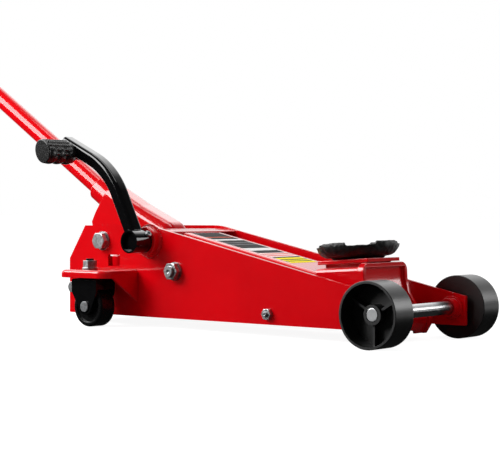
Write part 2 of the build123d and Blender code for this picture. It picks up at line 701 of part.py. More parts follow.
TIE_PART = 0.34
TIE = (
    ROD_FRONT[0] + (ROD_REAR[0] - ROD_FRONT[0]) * TIE_PART,
    ROD_FRONT[1] + (ROD_REAR[1] - ROD_FRONT[1]) * TIE_PART,
)
with BuildPart() as rod_tie:
    disc(TIE, 6, (-ROD_IN, ROD_IN))
finish(rod_tie, "rod_tie")

SADDLE_RISE = 0.3
DISH_R = 50
DISH_TOP = 13
with BuildPart() as saddle:
    with BuildSketch(SEAT_SECTION):
        with BuildLine():
            Polyline(
                (0, -22),
                (SADDLE_STEM_R, -22),
                (SADDLE_STEM_R, SADDLE_RISE),
                (36, SADDLE_RISE),
                (40, 4),
                (DISH_R, 9),
                (DISH_R, DISH_TOP),
                (0, DISH_TOP),
                close=True,
            )
        make_face()
    revolve(axis=Axis(SEAT_CENTRE, SEAT_UP))
finish(saddle, "saddle")

PAD_FLOOR = 17
PAD_TOP = 24.5
GROOVE_FLOOR = 19.8
GROOVE_WIDTH = 42
GROOVE_TURN = 40
HORN_ROUND = 1.2
with BuildPart() as saddle_pad:
    with BuildSketch(SEAT_SECTION):
        with BuildLine():
            Polyline(
                (SADDLE_R, 19),
                (SADDLE_R - 0.5, 22.5),
                (SADDLE_R - 3, PAD_TOP),
                (41, PAD_TOP),
                (34, PAD_FLOOR),
                (0, PAD_FLOOR),
                (0, DISH_TOP),
                (DISH_R, DISH_TOP),
                (DISH_R, 9),
                (40, 4),
                (39, 2.5),
                (43, 2.5),
            )
            ThreePointArc((43, 2.5), (55.5, 9.5), (SADDLE_R, 19))
        make_face()
    revolve(axis=Axis(SEAT_CENTRE, SEAT_UP))
    with BuildSketch(seat_plane(GROOVE_FLOOR)):
        Rectangle(3 * SADDLE_R, GROOVE_WIDTH, rotation=GROOVE_TURN)
        Rectangle(3 * SADDLE_R, GROOVE_WIDTH, rotation=GROOVE_TURN + 90)
    extrude(amount=PAD_TOP, mode=Mode.SUBTRACT)
    horn_tops = faces().filter_by(lambda face: abs(face.normal_at().dot(SEAT_UP) - 1) < 1e-6)
    highest = max(face.center().dot(SEAT_UP) for face in horn_tops)
    tips = [face for face in horn_tops if face.center().dot(SEAT_UP) > highest - 0.1]
    fillet([edge for face in tips for edge in face.edges()], HORN_ROUND)
finish(saddle_pad, "saddle_pad")

# ---------------------------------------------------------------- handle

YOKE_CREST = [(-587, 223.5), (-525, 192.5), (-457, 163), (-446, 144)]
YOKE_OUTLINE = YOKE_CREST + [
    (-520, 116),
    (HANDLE_PIVOT[0], HANDLE_PIVOT[1] - 22),
    (-562, 116),
    (-600, 126),
    (-620, 145),
    (-626, 166),
    (-617, 182),
]
with BuildPart() as yoke:
    with BuildSketch(side_plane(YOKE_HALF)) as hood:
        with BuildLine():
            Polyline(*YOKE_OUTLINE, close=True)
        make_face()
        fillet(hood.vertices().sort_by_distance(YOKE_CREST[1])[0], 150)
        fillet(hood.vertices().sort_by_distance(YOKE_CREST[2])[0], 24)
    extrude(amount=2 * YOKE_HALF)
    along = edges().filter_by(lambda edge: abs(edge.tangent_at(0.5).Y) < 0.01)
    fillet([edge for edge in along if edge.center().X > -587 and edge.center().Z > 158], 17)
    across = faces().filter_by(lambda face: face.is_planar and abs(face.normal_at().Y) < 0.01)
    below = across.filter_by(lambda face: face.normal_at().Z < 0.3)
    behind = across.filter_by(lambda face: face.normal_at().Z > 0.3 and face.normal_at().X < -0.5)
    offset(amount=-YOKE_SHEET, openings=below + behind)
    disc(HANDLE_PIVOT, YOKE_TUBE_R, (-YOKE_HALF, YOKE_HALF), Mode.SUBTRACT)
    disc(PUMP_ROLLER, 4, (-YOKE_HALF, YOKE_HALF), Mode.SUBTRACT)
finish(yoke, "yoke")

with BuildPart() as yoke_tube:
    disc(HANDLE_PIVOT, YOKE_TUBE_R, (-TUBE_END, TUBE_END))
    disc(HANDLE_PIVOT, BOLT_R + RUN, (-TUBE_END, TUBE_END), Mode.SUBTRACT)
finish(yoke_tube, "yoke_tube")

with BuildPart() as handle_socket:
    handle_disc(SOCKET_R, SOCKET_BOTTOM, SOCKET_TOP)
    chamfer(edges().filter_by(GeomType.CIRCLE).sort_by(Axis.Z)[-1], 1)
    handle_disc(HANDLE_R + RUN, SOCKET_BOTTOM - 1, SOCKET_TOP + 1, Mode.SUBTRACT)
finish(handle_socket, "handle_socket")

with BuildPart() as pump_roller:
    disc(PUMP_ROLLER, ROLLER_R, (-12, 12))
    chamfer(edges(), 1)
    disc(PUMP_ROLLER, 4 + RUN, (-12, 12), Mode.SUBTRACT)
finish(pump_roller, "pump_roller")

with BuildPart() as yoke_pins:
    disc(PUMP_ROLLER, 4, (-YOKE_HALF - 3, YOKE_HALF + 3))
    disc(PUMP_ROLLER, 7, outward(1, YOKE_HALF, YOKE_HALF + 2))
    disc(PUMP_ROLLER, 7, outward(-1, YOKE_HALF, YOKE_HALF + 2))
finish(yoke_pins, "yoke_pins")

HANDLE_SPLIT = 590
SPIGOT = 50
TUBE_WALL = 2.5
with BuildPart() as handle_lower:
    handle_disc(HANDLE_R, 45, HANDLE_SPLIT)
    handle_disc(HANDLE_R - TUBE_WALL, HANDLE_SPLIT, HANDLE_SPLIT + SPIGOT)
    handle_disc(HANDLE_R - TUBE_WALL, 55, HANDLE_SPLIT - 10, Mode.SUBTRACT)
    handle_disc(HANDLE_R - 2 * TUBE_WALL, 55, HANDLE_SPLIT + SPIGOT, Mode.SUBTRACT)
finish(handle_lower, "handle_lower")

GRIP_START = 985
with BuildPart() as handle_upper:
    handle_disc(HANDLE_R, HANDLE_SPLIT, HANDLE_TOP)
    handle_disc(HANDLE_R - TUBE_WALL, HANDLE_SPLIT, HANDLE_TOP, Mode.SUBTRACT)
finish(handle_upper, "handle_upper")

GRIP_R = 18
with BuildPart() as handle_grip:
    handle_disc(GRIP_R, GRIP_START, HANDLE_TOP + 4)
    handle_disc(GRIP_R + 2.5, GRIP_START, GRIP_START + 6)
    for ring in range(9):
        handle_disc(GRIP_R + 1.2, GRIP_START + 16 + 11 * ring, GRIP_START + 21 + 11 * ring)
    fillet(edges().filter_by(GeomType.CIRCLE).sort_by(Axis.Z)[-1], 6)
    handle_disc(HANDLE_R, GRIP_START, HANDLE_TOP, Mode.SUBTRACT)
finish(handle_grip, "handle_grip")

RELEASE_END = 8
with BuildPart() as release_joint:
    handle_disc(HANDLE_R - 2, 36, 45)
    handle_disc(5, RELEASE_END, 45)
    handle_disc(8, RELEASE_END - 8, RELEASE_END + 8)
finish(release_joint, "release_joint")

# ---------------------------------------------------------------- foot pedal

PEDAL_Y = -113
HUB_IN = 98
HUB_OUT = 130.5
HUB_R = 17.5
LEVER_WIDE = 24
LEVER_DEEP = 20.5
LEVER_WALL = 2.5
GRIP_AT = (-572.5, 274.5)
GRIP_CORE_R = 11
GRIP_IN = 125
GRIP_TO = 178
PEDAL_LINE = [PEDAL_PIVOT, (-491.1, 245.5), (-590, 291)]
SCREW_TILT = 38
SCREW_Y = -104
SCREW_R = 5
SCREW_DIR = Vector(cos(radians(SCREW_TILT)), 0, sin(radians(SCREW_TILT)))
SCREW_FOOT = Vector(PEDAL_PIVOT[0], SCREW_Y, PEDAL_PIVOT[1]) + SCREW_DIR * (PEDAL_SHAFT_R + 1)
SCREW_PLANE = Plane(origin=SCREW_FOOT, x_dir=(0, 1, 0), z_dir=SCREW_DIR)
with BuildPart() as pedal_arm:
    with BuildLine(side_plane(PEDAL_Y)) as run:
        FilletPolyline(*PEDAL_LINE, radius=124)
    with BuildSketch(Plane(origin=run.line @ 0, x_dir=(0, 1, 0), z_dir=run.line % 0)):
        RectangleRounded(LEVER_WIDE, LEVER_DEEP, 6)
        RectangleRounded(LEVER_WIDE - 2 * LEVER_WALL, LEVER_DEEP - 2 * LEVER_WALL, 3.5, mode=Mode.SUBTRACT)
    sweep(path=run.line)
    disc(PEDAL_PIVOT, HUB_R, (-HUB_OUT, -HUB_IN))
    disc(GRIP_AT, GRIP_CORE_R, (-GRIP_TO + 4, PEDAL_Y + 9))
    disc(PEDAL_PIVOT, PEDAL_SHAFT_R, (-120, -HUB_IN), Mode.SUBTRACT)
    disc(PEDAL_PIVOT, HUB_R - 3, (-HUB_OUT, -124), Mode.SUBTRACT)
    with BuildSketch(SCREW_PLANE):
        Circle(SCREW_R)
    extrude(amount=30, mode=Mode.SUBTRACT)
finish(pedal_arm, "pedal_arm")

GRIP_LONG = 18.5
GRIP_SHORT = 14.5
GRIP_LEAN = -58
FLANGE_OVER = 1.2
LOBE_AT = (GRIP_AT[0] + 3, GRIP_AT[1] - 4)
LOBE_R = 15.5
LOBE_HALF = 10


def grip_section(y, growth=0):
    """The grip's oval section, looking along the bar."""
    with BuildSketch(side_plane(y)) as section:
        with Locations(GRIP_AT):
            Ellipse(GRIP_LONG + growth, GRIP_SHORT + growth, rotation=GRIP_LEAN)
    return section.sketch


def finger_lobe(y):
    """A rounded swelling under the grip, between two fingers."""
    with BuildSketch(Plane(origin=(LOBE_AT[0], y, LOBE_AT[1]), x_dir=(1, 0, 0), z_dir=(0, 0, 1))) as half:
        with BuildLine():
            ThreePointArc((LOBE_R - 3, -LOBE_HALF), (LOBE_R, 0), (LOBE_R - 3, LOBE_HALF))
            Polyline((LOBE_R - 3, LOBE_HALF), (0, LOBE_HALF), (0, -LOBE_HALF), (LOBE_R - 3, -LOBE_HALF))
        make_face()
    revolve(half.sketch, axis=Axis((LOBE_AT[0], 0, LOBE_AT[1]), (0, 1, 0)))


with BuildPart() as pedal_grip:
    extrude(grip_section(-GRIP_IN), amount=GRIP_TO - GRIP_IN)
    extrude(grip_section(-GRIP_TO, FLANGE_OVER), amount=3)
    fillet(faces().sort_by(Axis.Y)[0].edges(), 1.4)
    for lobe_y in (-135.5, -154, -171):
        finger_lobe(lobe_y)
    disc(GRIP_AT, GRIP_CORE_R, (-GRIP_TO + 4, -100), Mode.SUBTRACT)
finish(pedal_grip, "pedal_grip")

CAM_TIP = (PEDAL_PIVOT[0] - CAM_REACH, PEDAL_PIVOT[1])
with BuildPart() as pedal_cam:
    disc(PEDAL_PIVOT, PEDAL_SHAFT_R, (-120, -56))
    disc(PEDAL_PIVOT, 16, (-73, -57))
    link(PEDAL_PIVOT, 9, CAM_TIP, CAM_R, (-70, -58))
    disc(PEDAL_PIVOT, 15, (-FRAME_IN + 0.4, -73))
finish(pedal_cam, "pedal_cam")

SCREW_LENGTH = 10.5
with BuildPart() as pedal_screw:
    with BuildSketch(SCREW_PLANE):
        Circle(SCREW_R)
    extrude(amount=SCREW_LENGTH)
    screw_end = edges().sort_by_distance(SCREW_FOOT)[-1]
    chamfer(screw_end, 0.8)
    with BuildSketch(SCREW_PLANE.offset(SCREW_LENGTH)):
        RegularPolygon(2.5, 6, major_radius=False)
    extrude(amount=-5, mode=Mode.SUBTRACT)
finish(pedal_screw, "pedal_screw")

# ---------------------------------------------------------------- wheels

DISH = 26
HUB_SUNK = 12
RIM_LIP = 3.6
WHEEL_HUB_R = 13.5
WHEEL_RIB = 3.5
RIB_RISE = 11


def front_wheel(side, tag):
    """A cast wheel, dished on its outer face, with a hub and three ribs."""
    with BuildPart() as wheel:
        with BuildSketch(Plane.XY) as section:
            with BuildLine():
                Polyline(
                    (AXLE_R + RUN, 0),
                    (WHEEL_R, 0),
                    (WHEEL_R, WHEEL_W),
                    (WHEEL_R - RIM_LIP, WHEEL_W),
                    (WHEEL_R - RIM_LIP - 2, WHEEL_W - DISH),
                    (WHEEL_HUB_R + 1, WHEEL_W - DISH),
                    (WHEEL_HUB_R, WHEEL_W - HUB_SUNK),
                    (AXLE_R + RUN, WHEEL_W - HUB_SUNK),
                    close=True,
                )
            make_face()
            chamfer(vertices().group_by(Axis.X)[-1], 0.7)
        revolve(axis=Axis.Y)
        with BuildSketch(Plane.XZ.offset(-(WHEEL_W - DISH - 1))):
            with PolarLocations((WHEEL_HUB_R + WHEEL_R - RIM_LIP) / 2, 3, start_angle=30):
                Rectangle(WHEEL_R - RIM_LIP - WHEEL_HUB_R + 1, WHEEL_RIB)
        extrude(amount=-RIB_RISE)
    turned = wheel.part if side > 0 else wheel.part.mirror(Plane.XZ)
    wheel.part = turned
    wheel.part.position = (AXLE[0], side * WHEEL_IN, AXLE[1])
    finish(wheel, f"front_wheel_{tag}")


for side, tag in SIDES:
    front_wheel(side, tag)

FORK_HALF = 20
CASTER_AXLE = (CASTER_STEM[0] + CASTER_TRAIL, CASTER_Z)
RACE_TOP = BRACKET_TOP - PLATE_T - 0.3
FORK_TOP = 78.5
FORK_LOW = 58
FORK_REAR = -541
FORK_FRONT = -486.5
SKIRT_LOW = 62


def caster(side, tag):
    """A swivel caster: fork and bearing race, wheel on its rivet, and the nut above the bracket."""
    x, y = CASTER_STEM[0], side * CASTER_STEM[1]
    with BuildPart() as fork:
        with BuildSketch(side_plane(y + FORK_HALF)) as cheek:
            with BuildLine():
                Polyline(
                    (FORK_REAR, FORK_LOW),
                    (FORK_FRONT, FORK_LOW),
                    (FORK_FRONT, FORK_TOP),
                    (FORK_REAR, FORK_TOP),
                    close=True,
                )
            make_face()
            with Locations(CASTER_AXLE):
                Circle(13)
            make_hull()
        extrude(amount=2 * FORK_HALF)
        fillet(faces().sort_by(Axis.Z)[-1].edges(), 3)
        with BuildSketch(side_plane(y + FORK_HALF - SHEET)):
            with Locations((CASTER_AXLE[0], 0)):
                Rectangle(90, 2 * SKIRT_LOW)
            with Locations(((FORK_REAR + FORK_FRONT) / 2, 0)):
                Rectangle(FORK_FRONT - FORK_REAR - 2 * SHEET, 2 * (FORK_TOP - SHEET))
        extrude(amount=2 * (FORK_HALF - SHEET), mode=Mode.SUBTRACT)
        post(x, y, 19, (FORK_TOP, RACE_TOP))
        post(x, y, 6, (RACE_TOP - 1, BRACKET_TOP + 17))
        disc(CASTER_AXLE, 4, (y - 30, y + 30), Mode.SUBTRACT)
    finish(fork, f"caster_fork_{tag}")

    with BuildPart() as wheel:
        disc(CASTER_AXLE, CASTER_R, (y - CASTER_W / 2, y + CASTER_W / 2))
        fillet(edges(), 4)
        for face_y in (y - CASTER_W / 2, y + CASTER_W / 2 - 3):
            disc(CASTER_AXLE, 24, (face_y, face_y + 3), Mode.SUBTRACT)
        disc(CASTER_AXLE, 10, (y - CASTER_W / 2 - 1, y + CASTER_W / 2 + 1))
        disc(CASTER_AXLE, 4 + RUN, (y - 30, y + 30), Mode.SUBTRACT)
    finish(wheel, f"caster_wheel_{tag}")

    with BuildPart() as hardware:
        disc(CASTER_AXLE, 4, (y - FORK_HALF, y + FORK_HALF))
        disc(CASTER_AXLE, 8, (y + FORK_HALF, y + FORK_HALF + 2.5))
        disc(CASTER_AXLE, 8, (y - FORK_HALF - 2.5, y - FORK_HALF))
        post(x, y, 12, (BRACKET_TOP + 0.3, BRACKET_TOP + 3))
        with BuildSketch(Plane.XY.offset(BRACKET_TOP + 3)):
            with Locations((x, y)):
                RegularPolygon(9.5, 6, major_radius=False)
        extrude(amount=11)
        post(x, y, 6, (BRACKET_TOP, BRACKET_TOP + 17), Mode.SUBTRACT)
    finish(hardware, f"caster_hardware_{tag}")


for side, tag in SIDES:
    caster(side, tag)
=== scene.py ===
import json
from math import atan2, cos, pi, radians, sin

import bpy
from bpy.props import FloatProperty, FloatVectorProperty, IntProperty, PointerProperty
from mathutils import Matrix, Vector


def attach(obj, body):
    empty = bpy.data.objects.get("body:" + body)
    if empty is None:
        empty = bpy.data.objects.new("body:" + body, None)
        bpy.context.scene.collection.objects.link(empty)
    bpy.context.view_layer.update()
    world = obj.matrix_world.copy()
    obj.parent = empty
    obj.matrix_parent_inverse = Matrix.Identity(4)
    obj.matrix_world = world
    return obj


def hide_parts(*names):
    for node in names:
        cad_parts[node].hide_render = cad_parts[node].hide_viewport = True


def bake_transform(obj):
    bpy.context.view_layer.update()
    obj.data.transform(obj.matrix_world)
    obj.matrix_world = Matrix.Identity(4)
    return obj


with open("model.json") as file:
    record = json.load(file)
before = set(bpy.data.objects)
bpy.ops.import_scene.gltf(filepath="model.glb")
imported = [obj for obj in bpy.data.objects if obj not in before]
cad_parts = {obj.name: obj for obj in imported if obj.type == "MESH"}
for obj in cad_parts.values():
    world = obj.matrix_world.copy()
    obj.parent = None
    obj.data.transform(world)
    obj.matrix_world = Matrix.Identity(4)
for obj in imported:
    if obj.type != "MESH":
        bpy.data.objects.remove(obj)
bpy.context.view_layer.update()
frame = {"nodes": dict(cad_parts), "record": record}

bl_info = {
    "name": "Hydraulic Trolley Jack",
    "version": (1, 0, 0),
    "blender": (4, 5, 0),
    "location": "View3D > Sidebar > Trolley Jack",
    "description": "Finishes, springs, welds, rubber, threads, label and studio for the trolley jack",
    "category": "Add Mesh",
}

MM = 0.001
MERGE = 0.01 * MM

# Most of a noise pattern lies between these two values.
NOISE_SPAN = (0.3, 0.7)

# The places below are given with the side plates level, and LEAN sets them on the real jack,
# which leans back about its front axle until the casters stand on the floor.
WHEEL_R = 45 * MM
RAKE = radians(-0.561)
LEAN = (
    Matrix.Translation((0, 0, WHEEL_R))
    @ Matrix.Rotation(RAKE, 4, "Y")
    @ Matrix.Translation((0, 0, -WHEEL_R))
)

# Pivots and fasteners, as (X, Z) in millimetres.
ARM_PIVOT = (-382.6, 91.3)
SPRING_BOLT = (-202.4, 34.9)
SPRING_STUD = (-330, 75)
SPRING_Y = 70
STUD_R = 4
HOOK_TURN = radians(318)
HOOK_PLAY = 0.15
PEDAL_PIVOT = (-435.2, 135.8)
PLATE_OUT = 84.8
EDGE_REAR = (-437, 160)
EDGE_FRONT = (21, 61.6)

# The pedal: its hub tube, the lever that is welded on it, and the rubber grip's oval section.
HUB_R = 17.5
LEVER_Y = -113
LEVER_TOP = (-491.1, 245.5)
LEVER_HALF_WIDTH = 12.4
LEVER_HALF_DEPTH = 10.6
GRIP_AT = (-572.5, 274.5)
GRIP_LONG = 18.5
GRIP_SHORT = 14.5
GRIP_LEAN = radians(-58)
GRIP_RIBS = (-131, -176)
RIB_R = 1.8
RIB_PROUD = 0.5
RIB_FIRST = 52
RIB_STEP = 22
RIB_COUNT = 6

# Stud ends beyond the nuts, threaded but for their chamfered noses.
ARM_STUD_R = 8.1
ARM_STUD_LENGTH = 4.2
ARM_NUT_END = 96.8
SPRING_BOLT_R = 3.6
SPRING_BOLT_LENGTH = 3
SPRING_NUT_T = 6
THREAD_R = 0.35
NOSE_LENGTH = 1.2

# Welds, along the joints of the frame and the nose.
WELD_PROUD = 0.4
BOSS_WELD_R = 25.5
NOSE_TOP = (-70, 105.5)
NOSE_HALF = 44
GUSSET_X = -461.5
GUSSET_Z = (46, 80)
SHELF_X = (-561, -462)
SHELF_Z = 92.2
DROP_STEP = 3
LOOP_DROPS = 48

# The label on the lift arm's deck, which lies below the side plates' top edge.
LABEL_ENDS = (-398, -203)
LABEL_HALF = 33
LABEL_MARGIN = 1.3
DECK_DROP = 3.5
FILM_LIFT = 0.12

# The camera, in metres with the side plates level.
CAMERA_AT = (0.976, -1.541, 0.169)
CAMERA_TURN = radians(39.77)
CAMERA_DIP = radians(0.23)
CAMERA_LENS = 95.15

# The way from the camera past the jack, where the studio is white, and the way to its high panel.
BEHIND = (-0.64, 0.77, 0)
PANEL = (-0.5, 0, 0.86)


def edge_z(x):
    """Height in millimetres of the side plates' sloping top edge."""
    (rear, high), (front, low) = EDGE_REAR, EDGE_FRONT
    return low + (high - low) / (front - rear) * (front - x)


# ---------------------------------------------------------------- shading helpers


def linear(code):
    """An sRGB hex colour as linear values."""
    parts = [int(code[i : i + 2], 16) / 255 for i in (0, 2, 4)]
    return [p / 12.92 if p <= 0.04045 else ((p + 0.055) / 1.055) ** 2.4 for p in parts]


def per_size(millimetres):
    """The texture scale whose features are about this size."""
    return 1000 / millimetres


def add(tree, kind, settings=None, links=None):
    """Add one node, with its properties, socket values, colour stops and incoming links."""
    node = tree.nodes.new(kind)
    for key, value in (settings or {}).items():
        if key == "stops":
            for place, tone in value:
                stop = node.color_ramp.elements.new(place)
                stop.color = (*tone[:3], 1)
            node.color_ramp.elements.remove(node.color_ramp.elements[0])
            node.color_ramp.elements.remove(node.color_ramp.elements[-1])
        elif key == "steps":
            node.color_ramp.interpolation = value
        elif isinstance(key, str) and hasattr(node, key):
            setattr(node, key, value)
        else:
            node.inputs[key].default_value = value
    join_sockets(tree, node, links or {})
    return node


def join_sockets(tree, node, links):
    """Link each of these outputs to the node's input of that name or number."""
    for key, socket in links.items():
        tree.links.new(socket, node.inputs[key])


def shade(colour, amount):
    """The colour, lighter or darker by this factor."""
    return [min(1.0, c * amount) for c in list(colour)[:3]]


def start(name):
    """A new material: its node tree, its shader and the place on the piece."""
    material = bpy.data.materials.new(name)
    material.use_nodes = True
    tree = material.node_tree
    shader = tree.nodes["Principled BSDF"]
    where = add(tree, "ShaderNodeTexCoord").outputs["Object"]
    return material, tree, shader, where


def even_gloss(tree, skin, gloss):
    """Roughness between two values that follows a pattern."""
    low, high = NOISE_SPAN
    span = {"From Min": low, "From Max": high, "To Min": gloss[0], "To Max": gloss[1]}
    return add(tree, "ShaderNodeMapRange", span, {"Value": skin}).outputs["Result"]


def worked_gloss(tree, axis, ends, gloss):
    """Roughness that changes from the faces beside an axis to the faces square to it."""
    facing = add(tree, "ShaderNodeTexCoord").outputs["Normal"]
    parts = add(tree, "ShaderNodeSeparateXYZ", {}, {"Vector": facing})
    square = add(tree, "ShaderNodeMath", {"operation": "ABSOLUTE"}, {0: parts.outputs[axis]})
    span = {"From Min": ends[0], "From Max": ends[1], "To Min": gloss[0], "To Max": gloss[1]}
    return add(tree, "ShaderNodeMapRange", span, {"Value": square.outputs[0]}).outputs["Result"]


def surface(tree, shader, cloud, tones, skin, roughness, depth):
    """Colour that drifts with one pattern, relief that follows another, and this roughness."""
    stops = list(zip(NOISE_SPAN, tones))
    tone = add(tree, "ShaderNodeValToRGB", {"stops": stops}, {"Fac": cloud})
    bump = add(tree, "ShaderNodeBump", {"Distance": depth * MM}, {"Height": skin})
    join_sockets(
        tree,
        shader,
        {
            "Base Color": tone.outputs["Color"],
            "Roughness": roughness,
            "Normal": bump.outputs["Normal"],
        },
    )


# ---------------------------------------------------------------- finishes


def stoved_enamel(name, colour, gloss=0.14, peel=0.004, shine=0.5, clear=0.35):
    """Enamel sprayed on pressed steel and baked: a deep even colour, hard gloss and faint peel."""
    material, tree, paint, where = start(name)
    drift = add(tree, "ShaderNodeTexNoise", {"Scale": per_size(70), "Detail": 3.0}, {"Vector": where})
    skin = add(tree, "ShaderNodeTexNoise", {"Scale": per_size(3), "Detail": 2.0}, {"Vector": where})
    tones = (shade(colour, 0.94), shade(colour, 1.05))
    sheen = even_gloss(tree, skin.outputs["Fac"], (gloss * 0.85, gloss * 1.2))
    surface(tree, paint, drift.outputs["Fac"], tones, skin.outputs["Fac"], sheen, peel)
    paint.inputs["IOR"].default_value = 1.5
    paint.inputs["Specular IOR Level"].default_value = shine
    paint.inputs["Coat Weight"].default_value = clear
    paint.inputs["Coat Roughness"].default_value = 0.05
    return material


def zinc_plating(name, colour, gloss=0.36):
    """Zinc plated on forged steel: cool grey, mottled by the bath and dulled by handling."""
    material, tree, metal, where = start(name)
    mottle = add(tree, "ShaderNodeTexNoise", {"Scale": per_size(4), "Detail": 4.0}, {"Vector": where})
    grit = add(tree, "ShaderNodeTexNoise", {"Scale": per_size(1.6), "Detail": 3.0}, {"Vector": where})
    tones = (shade(colour, 0.62), shade(colour, 1.25))
    sheen = even_gloss(tree, grit.outputs["Fac"], (gloss * 0.8, gloss * 1.3))
    surface(tree, metal, mottle.outputs["Fac"], tones, grit.outputs["Fac"], sheen, 0.06)
    metal.inputs["Metallic"].default_value = 1.0
    return material


def turned_steel(name, colour, gloss, along):
    """Bar turned and ground bright: rings round it, coarser than real ones so that they show."""
    material, tree, metal, where = start(name)
    squeeze = [per_size(9)] * 3
    squeeze["XYZ".index(along)] = per_size(0.7)
    stretched = add(tree, "ShaderNodeMapping", {"Scale": squeeze}, {"Vector": where})
    band = stretched.outputs["Vector"]
    rings = add(tree, "ShaderNodeTexNoise", {"Scale": 1.0, "Detail": 3.0}, {"Vector": band})
    tones = (shade(colour, 0.88), shade(colour, 1.06))
    ring = rings.outputs["Fac"]
    # The sawn and faced ends are duller than the ground side.
    sheen = worked_gloss(tree, along, (0.9, 0.98), (gloss, 0.52))
    surface(tree, metal, ring, tones, ring, sheen, 0.002)
    metal.inputs["Metallic"].default_value = 1.0
    return material


def hard_chrome(name):
    """Hard chrome, polished after plating: a near mirror with the faintest haze."""
    material, tree, metal, where = start(name)
    haze = add(tree, "ShaderNodeTexNoise", {"Scale": per_size(12), "Detail": 3.0}, {"Vector": where})
    mist = haze.outputs["Fac"]
    tones = (linear("C9CCD0"), linear("DADCDF"))
    surface(tree, metal, mist, tones, mist, even_gloss(tree, mist, (0.05, 0.12)), 0.001)
    metal.inputs["Metallic"].default_value = 1.0
    return material


def painted_casting(name, colour, gloss, grain_size, grain_depth):
    """Iron cast in sand and sprayed satin black: a fine pebbled skin under the paint."""
    material, tree, paint, where = start(name)
    drift = add(tree, "ShaderNodeTexNoise", {"Scale": per_size(25), "Detail": 3.0}, {"Vector": where})
    grain = add(
        tree, "ShaderNodeTexNoise", {"Scale": per_size(grain_size), "Detail": 4.0}, {"Vector": where}
    )
    tones = (shade(colour, 0.75), shade(colour, 1.3))
    sheen = even_gloss(tree, grain.outputs["Fac"], (gloss * 0.85, gloss * 1.2))
    surface(tree, paint, drift.outputs["Fac"], tones, grain.outputs["Fac"], sheen, grain_depth)
    paint.inputs["Specular IOR Level"].default_value = 0.3
    return material


def turned_wheel(name, colour):
    """Cast wheel, its tread turned, sprayed satin black: rings round the tread show in its sheen."""
    material, tree, paint, where = start(name)
    drift = add(tree, "ShaderNodeTexNoise", {"Scale": per_size(25), "Detail": 3.0}, {"Vector": where})
    # Real tool marks are finer: these are 1.1 mm apart so that they show.
    pitch = (per_size(40), per_size(1.1), per_size(40))
    round_it = add(tree, "ShaderNodeMapping", {"Scale": pitch}, {"Vector": where})
    band = round_it.outputs["Vector"]
    rings = add(tree, "ShaderNodeTexNoise", {"Scale": 1.0, "Detail": 2.0}, {"Vector": band})
    tones = (shade(colour, 0.8), shade(colour, 1.25))
    # The dished faces are left as cast, so the paint there is duller.
    sheen = worked_gloss(tree, "Y", (0.3, 0.7), (0.33, 0.5))
    surface(tree, paint, drift.outputs["Fac"], tones, rings.outputs["Fac"], sheen, 0.02)
    paint.inputs["Specular IOR Level"].default_value = 0.8
    return material


def moulded_rubber(name, colour, dull):
    """Black rubber pressed in a steel mould: matt, blotched, with bloom and dust in its skin."""
    material, tree, rubber, where = start(name)
    bloom = add(tree, "ShaderNodeTexNoise", {"Scale": per_size(9), "Detail": 4.0}, {"Vector": where})
    skin = add(tree, "ShaderNodeTexNoise", {"Scale": per_size(1.8), "Detail": 5.0}, {"Vector": where})
    tones = (shade(colour, 0.5), shade(colour, 1.7))
    sheen = even_gloss(tree, skin.outputs["Fac"], (dull * 0.85, dull * 1.15))
    surface(tree, rubber, bloom.outputs["Fac"], tones, skin.outputs["Fac"], sheen, 0.12)
    rubber.inputs["Specular IOR Level"].default_value = 0.4
    return material


def phosphated_wire(name):
    """Oiled, phosphated spring wire: dark grey with a low metallic shine along the draw lines."""
    material, tree, metal, where = start(name)
    cloud = add(tree, "ShaderNodeTexNoise", {"Scale": per_size(3), "Detail": 3.0}, {"Vector": where})
    film = cloud.outputs["Fac"]
    tones = (linear("1C1C1E"), linear("4A4A4E"))
    surface(tree, metal, film, tones, film, even_gloss(tree, film, (0.3, 0.46)), 0.01)
    metal.inputs["Metallic"].default_value = 0.8
    return material


def weld_enamel(name, colour):
    """Weld metal under the enamel: the same paint, thicker in the ripples and broken by spatter."""
    material, tree, paint, where = start(name)
    drift = add(tree, "ShaderNodeTexNoise", {"Scale": per_size(6), "Detail": 3.0}, {"Vector": where})
    ripple = add(tree, "ShaderNodeTexNoise", {"Scale": per_size(2), "Detail": 4.0}, {"Vector": where})
    tones = (shade(colour, 0.8), shade(colour, 1.08))
    sheen = even_gloss(tree, ripple.outputs["Fac"], (0.14, 0.26))
    surface(tree, paint, drift.outputs["Fac"], tones, ripple.outputs["Fac"], sheen, 0.12)
    return material


